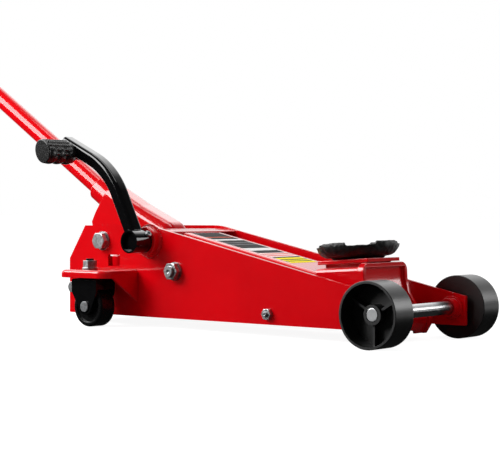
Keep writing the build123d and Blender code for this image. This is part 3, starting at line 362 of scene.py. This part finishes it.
def printed_vinyl(name):
    """Printed and laminated vinyl film: flat bands of ink under a satin clear layer."""
    material, tree, film, where = start(name)
    axes = add(tree, "ShaderNodeSeparateXYZ", {}, {"Vector": where})
    along = add(
        tree,
        "ShaderNodeMapRange",
        {"From Min": LABEL_ENDS[0] * MM, "From Max": LABEL_ENDS[1] * MM},
        {"Value": axes.outputs["X"]},
    )
    ink = linear("161619")
    grey = linear("77787C")
    pale = linear("E4E2E2")
    red = linear("D8433C")
    rose = linear("EFD2CF")
    yellow = linear("F2E21C")
    olive = linear("3A3A20")
    bands = [
        (0.0, ink),
        (0.14, linear("E4572E")),
        (0.155, ink),
        (0.215, pale),
        (0.26, ink),
        (0.33, grey),
        (0.345, ink),
        (0.39, grey),
        (0.405, ink),
        (0.52, pale),
        (0.6, ink),
        (0.68, rose),
        (0.71, red),
        (0.73, rose),
        (0.76, red),
        (0.78, rose),
        (0.81, ink),
        (0.84, yellow),
        (0.885, olive),
        (0.91, yellow),
        (0.935, olive),
        (0.955, yellow),
    ]
    print_tone = add(
        tree,
        "ShaderNodeValToRGB",
        {"steps": "CONSTANT", "stops": bands},
        {"Fac": along.outputs["Result"]},
    )
    side = add(tree, "ShaderNodeMath", {"operation": "ABSOLUTE"}, {0: axes.outputs["Y"]})
    margin = add(
        tree,
        "ShaderNodeMath",
        {"operation": "GREATER_THAN", 1: (LABEL_HALF - LABEL_MARGIN) * MM},
        {0: side.outputs[0]},
    )
    edged = add(
        tree,
        "ShaderNodeMixRGB",
        {"Color2": (*pale, 1)},
        {"Fac": margin.outputs[0], "Color1": print_tone.outputs["Color"]},
    )
    grain = add(tree, "ShaderNodeTexNoise", {"Scale": per_size(3), "Detail": 2.0}, {"Vector": where})
    sheen = add(
        tree, "ShaderNodeMapRange", {"To Min": 0.5, "To Max": 0.62}, {"Value": grain.outputs["Fac"]}
    )
    bump = add(tree, "ShaderNodeBump", {"Distance": 0.02 * MM}, {"Height": grain.outputs["Fac"]})
    join_sockets(
        tree,
        film,
        {
            "Base Color": edged.outputs["Color"],
            "Roughness": sheen.outputs["Result"],
            "Normal": bump.outputs["Normal"],
        },
    )
    film.inputs["Specular IOR Level"].default_value = 0.04
    return material


# ---------------------------------------------------------------- modelling helpers


def only(obj):
    """Deselect everything, then select and activate this object."""
    bpy.ops.object.select_all(action="DESELECT")
    obj.hide_set(False)
    obj.select_set(True)
    bpy.context.view_layer.objects.active = obj


def settle(obj):
    """Put the object's place, turn and size into its mesh."""
    only(obj)
    bpy.ops.object.transform_apply(location=True, rotation=True, scale=True)


def apply_all(obj):
    """Apply every modifier in order."""
    only(obj)
    for modifier in list(obj.modifiers):
        bpy.ops.object.modifier_apply(modifier=modifier.name)


def join(parts, name):
    """Join the parts into one piece."""
    bpy.ops.object.select_all(action="DESELECT")
    for part in parts:
        part.select_set(True)
    bpy.context.view_layer.objects.active = parts[0]
    if len(parts) > 1:
        bpy.ops.object.join()
    piece = bpy.context.view_layer.objects.active
    piece.name = name
    piece.data.name = name
    return piece


def copy_of(node, name):
    """A copy of a CAD node's mesh, with its loose triangles merged."""
    copy = bpy.data.objects.new(name, frame["nodes"][node].data.copy())
    bpy.context.scene.collection.objects.link(copy)
    only(copy)
    bpy.ops.object.mode_set(mode="EDIT")
    bpy.ops.mesh.select_all(action="SELECT")
    bpy.ops.mesh.remove_doubles(threshold=MERGE)
    bpy.ops.object.mode_set(mode="OBJECT")
    return copy


def remould(piece, voxel, rounds):
    """Rebuild the piece as one even skin and relax it, as soft moulded or molten edges are."""
    skin = piece.modifiers.new("Skin", "REMESH")
    skin.mode = "VOXEL"
    skin.voxel_size = voxel * MM
    relax = piece.modifiers.new("Relax", "SMOOTH")
    relax.factor = 0.5
    relax.iterations = rounds
    apply_all(piece)


def wire_ring(wire, radius):
    """A small octagon of wire, standing in the XZ plane this far out along X."""
    bpy.ops.object.select_all(action="DESELECT")
    bpy.ops.mesh.primitive_circle_add(
        vertices=8,
        radius=wire,
        fill_type="NOTHING",
        location=(radius, 0, 0),
        rotation=(radians(90), 0, 0),
    )
    ring = bpy.context.object
    settle(ring)
    return ring


def close_ends(piece):
    """Fill the open ends of a tube and turn its faces outwards."""
    only(piece)
    bpy.ops.object.mode_set(mode="EDIT")
    bpy.ops.mesh.select_all(action="SELECT")
    bpy.ops.mesh.fill_holes(sides=0)
    bpy.ops.mesh.select_all(action="SELECT")
    bpy.ops.mesh.normals_make_consistent(inside=False)
    bpy.ops.object.mode_set(mode="OBJECT")


def finish_piece(piece, material, body, smooth=40, lean=True):
    """Lean the piece with the jack, turn its faces out, smooth it, paint it and hang it on a body."""
    if lean:
        piece.matrix_world = LEAN @ piece.matrix_world
    settle(piece)
    bpy.ops.object.mode_set(mode="EDIT")
    bpy.ops.mesh.select_all(action="SELECT")
    bpy.ops.mesh.remove_doubles(threshold=MERGE)
    bpy.ops.mesh.normals_make_consistent(inside=False)
    bpy.ops.object.mode_set(mode="OBJECT")
    bpy.ops.object.shade_smooth_by_angle(angle=radians(smooth))
    piece.data.materials.clear()
    piece.data.materials.append(material)
    if body:
        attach(piece, body)
    return piece


def dress(node, material, edge):
    """Give a CAD node its finish, and break its edges as paint and tumbling do."""
    obj = frame["nodes"][node]
    for holder in obj.material_slots:
        holder.material = material
    if not obj.material_slots:
        obj.data.materials.append(material)
    only(obj)
    bpy.ops.object.shade_smooth()
    merged = obj.modifiers.new("Merged", "WELD")
    merged.merge_threshold = MERGE
    planes = obj.modifiers.new("Planes", "DECIMATE")
    planes.decimate_type = "DISSOLVE"
    planes.angle_limit = radians(0.4)
    edges = obj.modifiers.new("Edges", "BEVEL")
    edges.width = edge * MM
    edges.segments = 2
    edges.limit_method = "ANGLE"
    edges.angle_limit = radians(32)
    flow = obj.modifiers.new("Shading", "WEIGHTED_NORMAL")
    flow.keep_sharp = False


def material_of(name):
    """A finish made by the first operator."""
    return bpy.data.materials[name]


# ---------------------------------------------------------------- settings


class JackColours(bpy.types.PropertyGroup):
    enamel: FloatVectorProperty(
        name="Enamel",
        description="Colour of the stoved enamel on the frame, arm and handle",
        subtype="COLOR",
        size=3,
        min=0,
        max=1,
        default=linear("D2020D"),
    )
    black: FloatVectorProperty(
        name="Black enamel",
        description="Colour of the gloss black on the pedal and caster forks",
        subtype="COLOR",
        size=3,
        min=0,
        max=1,
        default=linear("070708"),
    )
    casting: FloatVectorProperty(
        name="Wheel paint",
        description="Colour of the satin paint on the cast wheels",
        subtype="COLOR",
        size=3,
        min=0,
        max=1,
        default=linear("070707"),
    )
    zinc: FloatVectorProperty(
        name="Zinc",
        description="Colour of the plated fasteners",
        subtype="COLOR",
        size=3,
        min=0,
        max=1,
        default=linear("C4C6C8"),
    )
    rubber: FloatVectorProperty(
        name="Rubber",
        description="Colour of the saddle pad and the grips",
        subtype="COLOR",
        size=3,
        min=0,
        max=1,
        default=linear("141414"),
    )


class JackSizes(bpy.types.PropertyGroup):
    edge: FloatProperty(
        name="Edge",
        description="Width of the broken edges, in millimetres",
        default=0.8,
        min=0.1,
        max=2.0,
    )
    spring_wire: FloatProperty(
        name="Spring wire",
        description="Diameter of the return springs' wire",
        unit="LENGTH",
        subtype="DISTANCE",
        default=2.4 * MM,
    )
    spring_radius: FloatProperty(
        name="Spring radius",
        description="Mean radius of the return springs' coils",
        unit="LENGTH",
        subtype="DISTANCE",
        default=5.6 * MM,
    )
    spring_turns: IntProperty(
        name="Spring turns", description="Turns in each return spring", default=46, min=5, max=80
    )
    bead: FloatProperty(
        name="Weld bead",
        description="Radius of the weld beads",
        unit="LENGTH",
        subtype="DISTANCE",
        default=1.8 * MM,
    )
    thread_pitch: FloatProperty(
        name="Thread pitch",
        description="Pitch of the threads on the stud ends",
        unit="LENGTH",
        subtype="DISTANCE",
        default=1.5 * MM,
    )


# ---------------------------------------------------------------- operators


class JACK_OT_stage(bpy.types.Operator):
    """Set up the pale floor, the soft studio light and the camera"""

    bl_idname = "jack.stage"
    bl_label = "Stage"

    def execute(self, context):
        camera = bpy.data.objects.new("camera", bpy.data.cameras.new("camera"))
        context.scene.collection.objects.link(camera)
        camera.data.lens = CAMERA_LENS
        camera.data.sensor_width = 36
        camera.data.sensor_fit = "HORIZONTAL"
        camera.data.clip_end = 50
        ahead = Vector(
            (
                -sin(CAMERA_TURN) * cos(CAMERA_DIP),
                cos(CAMERA_TURN) * cos(CAMERA_DIP),
                -sin(CAMERA_DIP),
            )
        )
        upright = ahead.to_track_quat("-Z", "Y").to_matrix().to_4x4()
        camera.matrix_world = LEAN @ Matrix.Translation(CAMERA_AT) @ upright
        context.scene.camera = camera

        bpy.ops.object.select_all(action="DESELECT")
        bpy.ops.mesh.primitive_plane_add(size=60, location=(0, 0, 0))
        floor = context.object
        floor.name = "floor"
        floor.data.materials.append(self.floor_paint())

        # The key box lies along the handle, which mirrors it as one long stripe.
        along_handle = (-0.83, 0.26, 0.48)
        self.lamp(context, "key", (-1.7, -1.38, 1.28), (-0.55, 0, 0.2), along_handle, (1.5, 1.35), 68)
        self.lamp(context, "side", (1.35, 1.65, 0.86), (0, 0, 0.06), (0, 0, 1), (0.85, 0.9), 12)
        self.lamp(context, "overhead", (-0.3, 0.3, 2.0), (-0.3, 0, 0.2), (1, 0, 0), (1.6, 0.6), 10)
        self.sky(context)
        context.scene.view_settings.view_transform = "Standard"
        return {"FINISHED"}

    def lamp(self, context, name, place, target, along, size, power):
        """A soft box that faces its target, with its first side turned along the given way."""
        lamp = bpy.data.objects.new(name, bpy.data.lights.new(name, "AREA"))
        context.scene.collection.objects.link(lamp)
        lamp.data.shape = "RECTANGLE"
        lamp.data.size, lamp.data.size_y = size
        lamp.data.energy = power
        away = (Vector(place) - Vector(target)).normalized()
        first = (Vector(along) - away * away.dot(Vector(along))).normalized()
        turn = Matrix((first, away.cross(first), away)).transposed().to_4x4()
        lamp.matrix_world = Matrix.Translation(place) @ turn

    def floor_paint(self):
        """Matt pale studio floor: white to the eye, with the jack's shadow, dim for its light, and a
        painted glow for reflections.
        """
        material, tree, paint, where = start("studio_floor")
        cloud = add(tree, "ShaderNodeTexNoise", {"Scale": per_size(400)}, {"Vector": where})
        stops = list(zip(NOISE_SPAN, (linear("8C8C8C"), linear("929292"))))
        tone = add(tree, "ShaderNodeValToRGB", {"stops": stops}, {"Fac": cloud.outputs["Fac"]})
        join_sockets(tree, paint, {"Base Color": tone.outputs["Color"]})
        paint.inputs["Roughness"].default_value = 0.9
        paint.inputs["Specular IOR Level"].default_value = 0.0
        path = add(tree, "ShaderNodeLightPath")
        white = add(tree, "ShaderNodeEmission", {"Color": (1, 1, 1, 1), "Strength": 0.92})
        seen = add(tree, "ShaderNodeAddShader", {}, {0: paint.outputs[0], 1: white.outputs[0]})
        # Reflections see the floor as a painted glow, faint on the camera's side and full beyond it,
        # in place of a lit far floor.
        place = add(tree, "ShaderNodeSeparateXYZ", {}, {"Vector": where})
        painted_glow_fade = add(
            tree,
            "ShaderNodeMapRange",
            {"From Min": 0.3, "From Max": 0.75, "To Min": 0.02, "To Max": 1.0},
            {"Value": place.outputs["Y"]},
        )
        mirrored = add(
            tree, "ShaderNodeEmission", {"Color": (1, 1, 1, 1)}, {"Strength": painted_glow_fade.outputs["Result"]}
        )
        lit = add(
            tree,
            "ShaderNodeMixShader",
            {},
            {0: path.outputs["Is Glossy Ray"], 1: paint.outputs[0], 2: mirrored.outputs[0]},
        )
        shown = add(
            tree,
            "ShaderNodeMixShader",
            {},
            {0: path.outputs["Is Camera Ray"], 1: lit.outputs[0], 2: seen.outputs[0]},
        )
        join_sockets(tree, tree.nodes["Material Output"], {"Surface": shown.outputs[0]})
        return material

    def sky(self, context):
        """White behind the jack and a dark room all round, for reflections; a grey dome for light."""
        world = bpy.data.worlds.new("studio")
        context.scene.world = world
        world.use_nodes = True
        tree = world.node_tree
        tree.nodes.clear()
        way = add(tree, "ShaderNodeTexCoord").outputs["Generated"]
        back = add(tree, "ShaderNodeVectorMath", {"operation": "DOT_PRODUCT", 1: BEHIND}, {0: way})
        room = add(
            tree,
            "ShaderNodeMapRange",
            {"From Min": 0.3, "From Max": 0.7, "To Min": 0.03, "To Max": 1.0},
            {"Value": back.outputs["Value"]},
        )
        # A brighter panel hangs high behind the rear wheels, for the cover's slope to mirror.
        height = add(tree, "ShaderNodeVectorMath", {"operation": "DOT_PRODUCT", 1: PANEL}, {0: way})
        panel = add(
            tree,
            "ShaderNodeMapRange",
            {"From Min": 0.54, "From Max": 0.61, "To Min": 1.0, "To Max": 2.5},
            {"Value": height.outputs["Value"]},
        )
        glow = add(
            tree,
            "ShaderNodeMath",
            {"operation": "MULTIPLY"},
            {0: room.outputs["Result"], 1: panel.outputs["Result"]},
        )
        path = add(tree, "ShaderNodeLightPath")
        dome = add(tree, "ShaderNodeBackground", {"Color": (1, 1, 1, 1), "Strength": 0.34})
        mirrored = add(
            tree, "ShaderNodeBackground", {"Color": (1, 1, 1, 1)}, {"Strength": glow.outputs[0]}
        )
        white = add(tree, "ShaderNodeBackground", {"Color": (1, 1, 1, 1), "Strength": 1.0})
        glossy = path.outputs["Is Glossy Ray"]
        lit = add(
            tree, "ShaderNodeMixShader", {}, {0: glossy, 1: dome.outputs[0], 2: mirrored.outputs[0]}
        )
        camera = path.outputs["Is Camera Ray"]
        shown = add(
            tree, "ShaderNodeMixShader", {}, {0: camera, 1: lit.outputs[0], 2: white.outputs[0]}
        )
        add(tree, "ShaderNodeOutputWorld", {}, {"Surface": shown.outputs[0]})


class JACK_OT_finishes(bpy.types.Operator):
    """Make the jack's finishes and dress the CAD pieces in them"""

    bl_idname = "jack.finishes"
    bl_label = "Finishes"

    def execute(self, context):
        colours = context.scene.jack_colours
        sizes = context.scene.jack_sizes
        finishes = {
            "red_paint": stoved_enamel("red_stoved_enamel", colours.enamel),
            "arm_paint": stoved_enamel("red_arm_enamel", colours.enamel, 0.16),
            "handle_paint": stoved_enamel("red_handle_enamel", colours.enamel, 0.12, 0.0, 0.5, 0),
            "black_paint": stoved_enamel("black_stoved_enamel", colours.black, 0.1, 0.003, 0.5, 0),
            "fork_black": stoved_enamel("black_fork_enamel", colours.black, 0.2, 0.004, 0.25, 0),
            "unit_paint": stoved_enamel("black_unit_enamel", linear("16070A"), 0.35, 0.03, 0.3, 0),
            "rod_paint": stoved_enamel("black_rod_enamel", colours.black, 0.3, 0.02, 0.4, 0),
            "zinc_plate": zinc_plating("zinc_plated_steel", colours.zinc),
            "bare_steel": turned_steel("bright_turned_steel", linear("C4C5C6"), 0.24, "Y"),
            "chrome_steel": hard_chrome("hard_chrome"),
            "spring_steel": phosphated_wire("phosphated_spring_wire"),
            "saddle_iron": painted_casting("black_cast_iron", linear("0E0E0E"), 0.5, 1.8, 0.15),
            "saddle_rubber": moulded_rubber("moulded_saddle_rubber", colours.rubber, 0.48),
            "grip_rubber": moulded_rubber("moulded_handle_grip", colours.rubber, 0.55),
            "pedal_rubber": moulded_rubber("moulded_pedal_grip", colours.rubber, 0.27),
            "wheel_black": turned_wheel("satin_black_wheel", colours.casting),
            "caster_black": painted_casting("gloss_black_caster", colours.black, 0.28, 1.8, 0.02),
        }
        weld_enamel("red_weld_enamel", colours.enamel)
        weld_enamel("black_weld_enamel", colours.black)
        printed_vinyl("printed_vinyl")
        thin = {
            "rear_cover": 0.5,
            "valve_stem": 0.4,
            "pedal_screw": 0.3,
            "ram_pin": 0.3,
            "yoke_pins": 0.3,
        }
        for row in frame["record"]["subparts"]:
            node = row["node"]
            dress(node, finishes[row["material_slot"]], thin.get(node, sizes.edge))
        return {"FINISHED"}


class JACK_OT_return_springs(bpy.types.Operator):
    """Wind the two tension springs between the frame bolts and the lift arm's studs"""

    bl_idname = "jack.return_springs"
    bl_label = "Return springs"

    def execute(self, context):
        sizes = context.scene.jack_sizes
        wire = sizes.spring_wire / 2
        eye = (STUD_R + HOOK_PLAY) * MM + wire
        for side, tag in ((-1, "r"), (1, "l")):
            first = Vector((SPRING_BOLT[0], side * SPRING_Y, SPRING_BOLT[1])) * MM
            last = Vector((SPRING_STUD[0], side * SPRING_Y, SPRING_STUD[1])) * MM
            ahead = (last - first).normalized()
            turn = ahead.to_track_quat("Z", "Y").to_matrix().to_4x4()
            coil = self.coil(sizes, (last - first).length - 2 * (eye + wire))
            coil.matrix_world = Matrix.Translation(first + ahead * (eye + wire)) @ turn
            settle(coil)
            parts = [coil, self.hook(first, ahead, wire, eye), self.hook(last, -ahead, wire, eye)]
            piece = join(parts, f"return_spring_coil_{tag}")
            finish_piece(piece, material_of("phosphated_spring_wire"), None, 60)
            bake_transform(piece)
            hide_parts(f"return_spring_{tag}")
        return {"FINISHED"}

    def coil(self, sizes, length):
        """One close-wound body: a wire section screwed round the spring's axis."""
        body = wire_ring(sizes.spring_wire / 2, sizes.spring_radius)
        winding = body.modifiers.new("Winding", "SCREW")
        winding.axis = "Z"
        winding.angle = 2 * pi
        winding.iterations = sizes.spring_turns
        winding.screw_offset = length / sizes.spring_turns
        winding.steps = 18
        winding.render_steps = 18
        apply_all(body)
        close_ends(body)
        return body

    def hook(self, centre, towards, wire, eye):
        """An open hook round a stud: the wire section spun most of a turn, from the coil's side."""
        ring = wire_ring(wire, eye)
        only(ring)
        bpy.ops.object.mode_set(mode="EDIT")
        bpy.ops.mesh.select_all(action="SELECT")
        bpy.ops.mesh.spin(steps=26, angle=HOOK_TURN, center=(0, 0, 0), axis=(0, 0, 1))
        bpy.ops.object.mode_set(mode="OBJECT")
        close_ends(ring)
        upright = Matrix((towards, towards.cross(Vector((0, 1, 0))), Vector((0, 1, 0)))).transposed()
        ring.matrix_world = Matrix.Translation(centre) @ upright.to_4x4()
        settle(ring)
        return ring


class JACK_OT_welds(bpy.types.Operator):
    """Lay the weld beads where the frame, the nose and the pedal are welded"""

    bl_idname = "jack.welds"
    bl_label = "Weld beads"

    def execute(self, context):
        bead = context.scene.jack_sizes.bead
        red = material_of("red_weld_enamel")
        black = material_of("black_weld_enamel")
        turns = [2 * pi * i / LOOP_DROPS for i in range(LOOP_DROPS + 1)]
        proud = PLATE_OUT + WELD_PROUD
        boss = [
            (PEDAL_PIVOT[0] + BOSS_WELD_R * cos(t), -proud, PEDAL_PIVOT[1] + BOSS_WELD_R * sin(t))
            for t in turns
        ]
        self.run("boss_weld", boss, bead * 0.8, red, "frame", "red_paint")
        top = [(NOSE_TOP[0], y, NOSE_TOP[1]) for y in range(-NOSE_HALF, NOSE_HALF + 1, DROP_STEP)]
        self.run("nose_weld", top, bead * 1.1, red, "carrier", "red_paint")
        for side, tag in ((-1, "r"), (1, "l")):
            gusset = [(GUSSET_X, side * proud, z) for z in range(*GUSSET_Z, DROP_STEP)]
            self.run(f"gusset_weld_{tag}", gusset, bead * 0.7, red, "frame", "red_paint")
            shelf = [(x, side * proud, SHELF_Z) for x in range(*SHELF_X, DROP_STEP)]
            self.run(f"shelf_weld_{tag}", shelf, bead * 0.7, red, "frame", "red_paint")
        rise = atan2(LEVER_TOP[1] - PEDAL_PIVOT[1], LEVER_TOP[0] - PEDAL_PIVOT[0])
        hub = []
        for turn in turns:
            deep = LEVER_HALF_DEPTH * sin(turn)
            lift = (HUB_R**2 - deep**2) ** 0.5
            x = PEDAL_PIVOT[0] + lift * cos(rise) - deep * sin(rise)
            z = PEDAL_PIVOT[1] + lift * sin(rise) + deep * cos(rise)
            hub.append((x, LEVER_Y + LEVER_HALF_WIDTH * cos(turn), z))
        self.run("pedal_weld", hub, bead * 0.8, black, "foot_pedal", "black_paint")
        return {"FINISHED"}

    def run(self, name, points, radius, material, body, slot):
        """Overlapping drops along the points, in level millimetres, melted into one rippled bead."""
        bpy.ops.object.select_all(action="DESELECT")
        bpy.ops.mesh.primitive_uv_sphere_add(segments=10, ring_count=6, radius=radius)
        drop = bpy.context.object
        places = [Vector(p) * MM for p in points]
        drop.location = places[0]
        parts = [drop]
        for index, place in enumerate(places[1:]):
            twin = drop.copy()
            twin.data = drop.data.copy()
            swell = 1 + 0.16 * sin(2.3 * index)
            twin.scale = (swell, swell, swell)
            twin.location = place
            bpy.context.scene.collection.objects.link(twin)
            parts.append(twin)
        piece = join(parts, name)
        settle(piece)
        remould(piece, 0.45, 3)
        finish_piece(piece, material, body, 80)


class JACK_OT_saddle_pad(bpy.types.Operator):
    """Mould the saddle's rubber pad, with its soft horns and creased flanks"""

    bl_idname = "jack.saddle_pad"
    bl_label = "Saddle pad"

    def execute(self, context):
        pad = copy_of("saddle_pad", "moulded_pad")
        remould(pad, 1.1, 10)
        creases = bpy.data.textures.new("rubber_creases", "CLOUDS")
        creases.noise_scale = 9 * MM
        creases.noise_depth = 2
        lumps = pad.modifiers.new("Creases", "DISPLACE")
        lumps.texture = creases
        lumps.texture_coords = "LOCAL"
        lumps.strength = 2.2 * MM
        lumps.mid_level = 0.85
        apply_all(pad)
        finish_piece(pad, material_of("moulded_saddle_rubber"), "saddle", 70, False)
        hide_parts("saddle_pad")
        return {"FINISHED"}


class JACK_OT_pedal_grip(bpy.types.Operator):
    """Mould the pedal's rubber grip, with the lengthwise ribs that the sole of a shoe holds"""

    bl_idname = "jack.pedal_grip"
    bl_label = "Pedal grip"

    def execute(self, context):
        parts = [copy_of("pedal_grip", "grip_body")]
        for index in range(RIB_COUNT):
            parts.append(self.rib(radians(RIB_FIRST + RIB_STEP * index)))
        grip = join(parts, "ribbed_pedal_grip")
        remould(grip, 0.5, 2)
        finish_piece(grip, material_of("moulded_pedal_grip"), "foot_pedal", 60, False)
        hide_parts("pedal_grip")
        return {"FINISHED"}

    def rib(self, turn):
        """One rounded rib along the grip, at this turn round its oval section."""
        across = (GRIP_LONG + RIB_PROUD) * cos(turn)
        up = (GRIP_SHORT + RIB_PROUD) * sin(turn)
        x = GRIP_AT[0] + across * cos(GRIP_LEAN) - up * sin(GRIP_LEAN)
        z = GRIP_AT[1] + across * sin(GRIP_LEAN) + up * cos(GRIP_LEAN)
        length = abs(GRIP_RIBS[1] - GRIP_RIBS[0]) * MM
        bpy.ops.object.select_all(action="DESELECT")
        bpy.ops.mesh.primitive_cylinder_add(
            vertices=12,
            radius=RIB_R * MM,
            depth=length,
            location=(x * MM, sum(GRIP_RIBS) / 2 * MM, z * MM),
            rotation=(radians(90), 0, 0),
        )
        bar = bpy.context.object
        settle(bar)
        round_off = bar.modifiers.new("Ends", "BEVEL")
        round_off.width = 1.1 * MM
        round_off.segments = 3
        round_off.angle_limit = radians(60)
        round_off.limit_method = "ANGLE"
        apply_all(bar)
        bar.matrix_world = LEAN @ bar.matrix_world
        settle(bar)
        return bar


class JACK_OT_threads(bpy.types.Operator):
    """Cut the threads that show on the stud ends beyond their nuts"""

    bl_idname = "jack.threads"
    bl_label = "Stud threads"

    def execute(self, context):
        pitch = context.scene.jack_sizes.thread_pitch
        ends = []
        for side, tag in ((-1, "r"), (1, "l")):
            place = Vector((ARM_PIVOT[0], side * ARM_NUT_END, ARM_PIVOT[1])) * MM
            ends.append((f"arm_thread_{tag}", place, ARM_STUD_R, ARM_STUD_LENGTH, side))
            place = Vector((SPRING_BOLT[0], side * (PLATE_OUT + SPRING_NUT_T), SPRING_BOLT[1])) * MM
            name = f"spring_bolt_thread_{tag}"
            ends.append((name, place, SPRING_BOLT_R, SPRING_BOLT_LENGTH, side))
        for end in ends:
            self.stud_end(*end, pitch)
        return {"FINISHED"}

    def stud_end(self, name, place, radius, length, side, pitch):
        """A short chamfered stud end, centre-drilled, with a thread wound round it."""
        bpy.ops.object.select_all(action="DESELECT")
        bpy.ops.mesh.primitive_cylinder_add(vertices=32, radius=radius * MM, depth=length * MM)
        core = bpy.context.object
        core.location = (0, 0, length / 2 * MM)
        settle(core)
        bpy.ops.object.mode_set(mode="EDIT")
        bpy.ops.mesh.select_all(action="DESELECT")
        bpy.ops.object.mode_set(mode="OBJECT")
        for face in core.data.polygons:
            face.select = face.normal.z > 0.9
        # The lathe's centre has left a dimple in the end.
        bpy.ops.object.mode_set(mode="EDIT")
        bpy.ops.mesh.inset(thickness=0.62 * radius * MM)
        bpy.ops.mesh.inset(thickness=0.28 * radius * MM)
        bpy.ops.transform.translate(value=(0, 0, -0.2 * radius * MM))
        bpy.ops.object.mode_set(mode="OBJECT")
        nose = core.modifiers.new("Nose", "BEVEL")
        nose.width = 0.7 * MM
        nose.segments = 1
        nose.limit_method = "ANGLE"
        nose.angle_limit = radians(60)
        apply_all(core)
        ridge = wire_ring(THREAD_R * MM, radius * MM)
        threaded = (length - NOSE_LENGTH) * MM
        winding = ridge.modifiers.new("Thread", "SCREW")
        winding.axis = "Z"
        winding.angle = 2 * pi * threaded / pitch
        winding.screw_offset = threaded
        winding.steps = 48
        winding.render_steps = 48
        apply_all(ridge)
        close_ends(ridge)
        piece = join([core, ridge], name)
        out = Vector((0, side, 0))
        first = Vector((side, 0, 0))
        turn = Matrix((first, out.cross(first), out)).transposed()
        piece.matrix_world = Matrix.Translation(place) @ turn.to_4x4()
        settle(piece)
        finish_piece(piece, material_of("zinc_plated_steel"), "frame", 30)


class JACK_OT_label(bpy.types.Operator):
    """Lay the plain colour-banded label on the lift arm's deck"""

    bl_idname = "jack.label"
    bl_label = "Deck label"

    def execute(self, context):
        rear, front = LABEL_ENDS
        slope = atan2(edge_z(rear) - edge_z(front), front - rear)
        middle = (rear + front) / 2
        bpy.ops.object.select_all(action="DESELECT")
        bpy.ops.mesh.primitive_plane_add(size=1, location=(0, 0, 0))
        label = context.object
        label.scale = ((front - rear) * MM / cos(slope), 2 * LABEL_HALF * MM, 1)
        settle(label)
        label.rotation_euler = (0, slope, 0)
        label.location = (middle * MM, 0, (edge_z(middle) - DECK_DROP + FILM_LIFT) * MM)
        settle(label)
        bpy.ops.object.mode_set(mode="EDIT")
        bpy.ops.mesh.select_all(action="SELECT")
        bpy.ops.mesh.subdivide(number_cuts=12)
        bpy.ops.object.mode_set(mode="OBJECT")
        film = label.modifiers.new("Film", "SOLIDIFY")
        film.thickness = 0.2 * MM
        film.offset = 0
        apply_all(label)
        piece = join([label], "deck_label")
        finish_piece(piece, material_of("printed_vinyl"), "lift_arm", 30)
        return {"FINISHED"}


class JACK_PT_panel(bpy.types.Panel):
    """The jack's pieces, sizes and colours"""

    bl_idname = "JACK_PT_panel"
    bl_label = "Trolley Jack"
    bl_space_type = "VIEW_3D"
    bl_region_type = "UI"
    bl_category = "Trolley Jack"

    def draw(self, context):
        layout = self.layout
        for group in (context.scene.jack_colours, context.scene.jack_sizes):
            for key in group.bl_rna.properties.keys():
                if key not in ("rna_type", "name"):
                    layout.prop(group, key)
        for operator in OPERATORS:
            layout.operator(operator.bl_idname)


OPERATORS = (
    JACK_OT_stage,
    JACK_OT_finishes,
    JACK_OT_return_springs,
    JACK_OT_welds,
    JACK_OT_saddle_pad,
    JACK_OT_pedal_grip,
    JACK_OT_threads,
    JACK_OT_label,
)
CLASSES = (JackColours, JackSizes, *OPERATORS, JACK_PT_panel)


def register():
    for item in CLASSES:
        bpy.utils.register_class(item)
    bpy.types.Scene.jack_colours = PointerProperty(type=JackColours)
    bpy.types.Scene.jack_sizes = PointerProperty(type=JackSizes)


def unregister():
    del bpy.types.Scene.jack_sizes
    del bpy.types.Scene.jack_colours
    for item in reversed(CLASSES):
        bpy.utils.unregister_class(item)


def main():
    register()
    bpy.ops.jack.stage()
    bpy.ops.jack.finishes()
    bpy.ops.jack.return_springs()
    bpy.ops.jack.welds()
    bpy.ops.jack.saddle_pad()
    bpy.ops.jack.pedal_grip()
    bpy.ops.jack.threads()
    bpy.ops.jack.label()


if __name__ == "__main__":
    main()
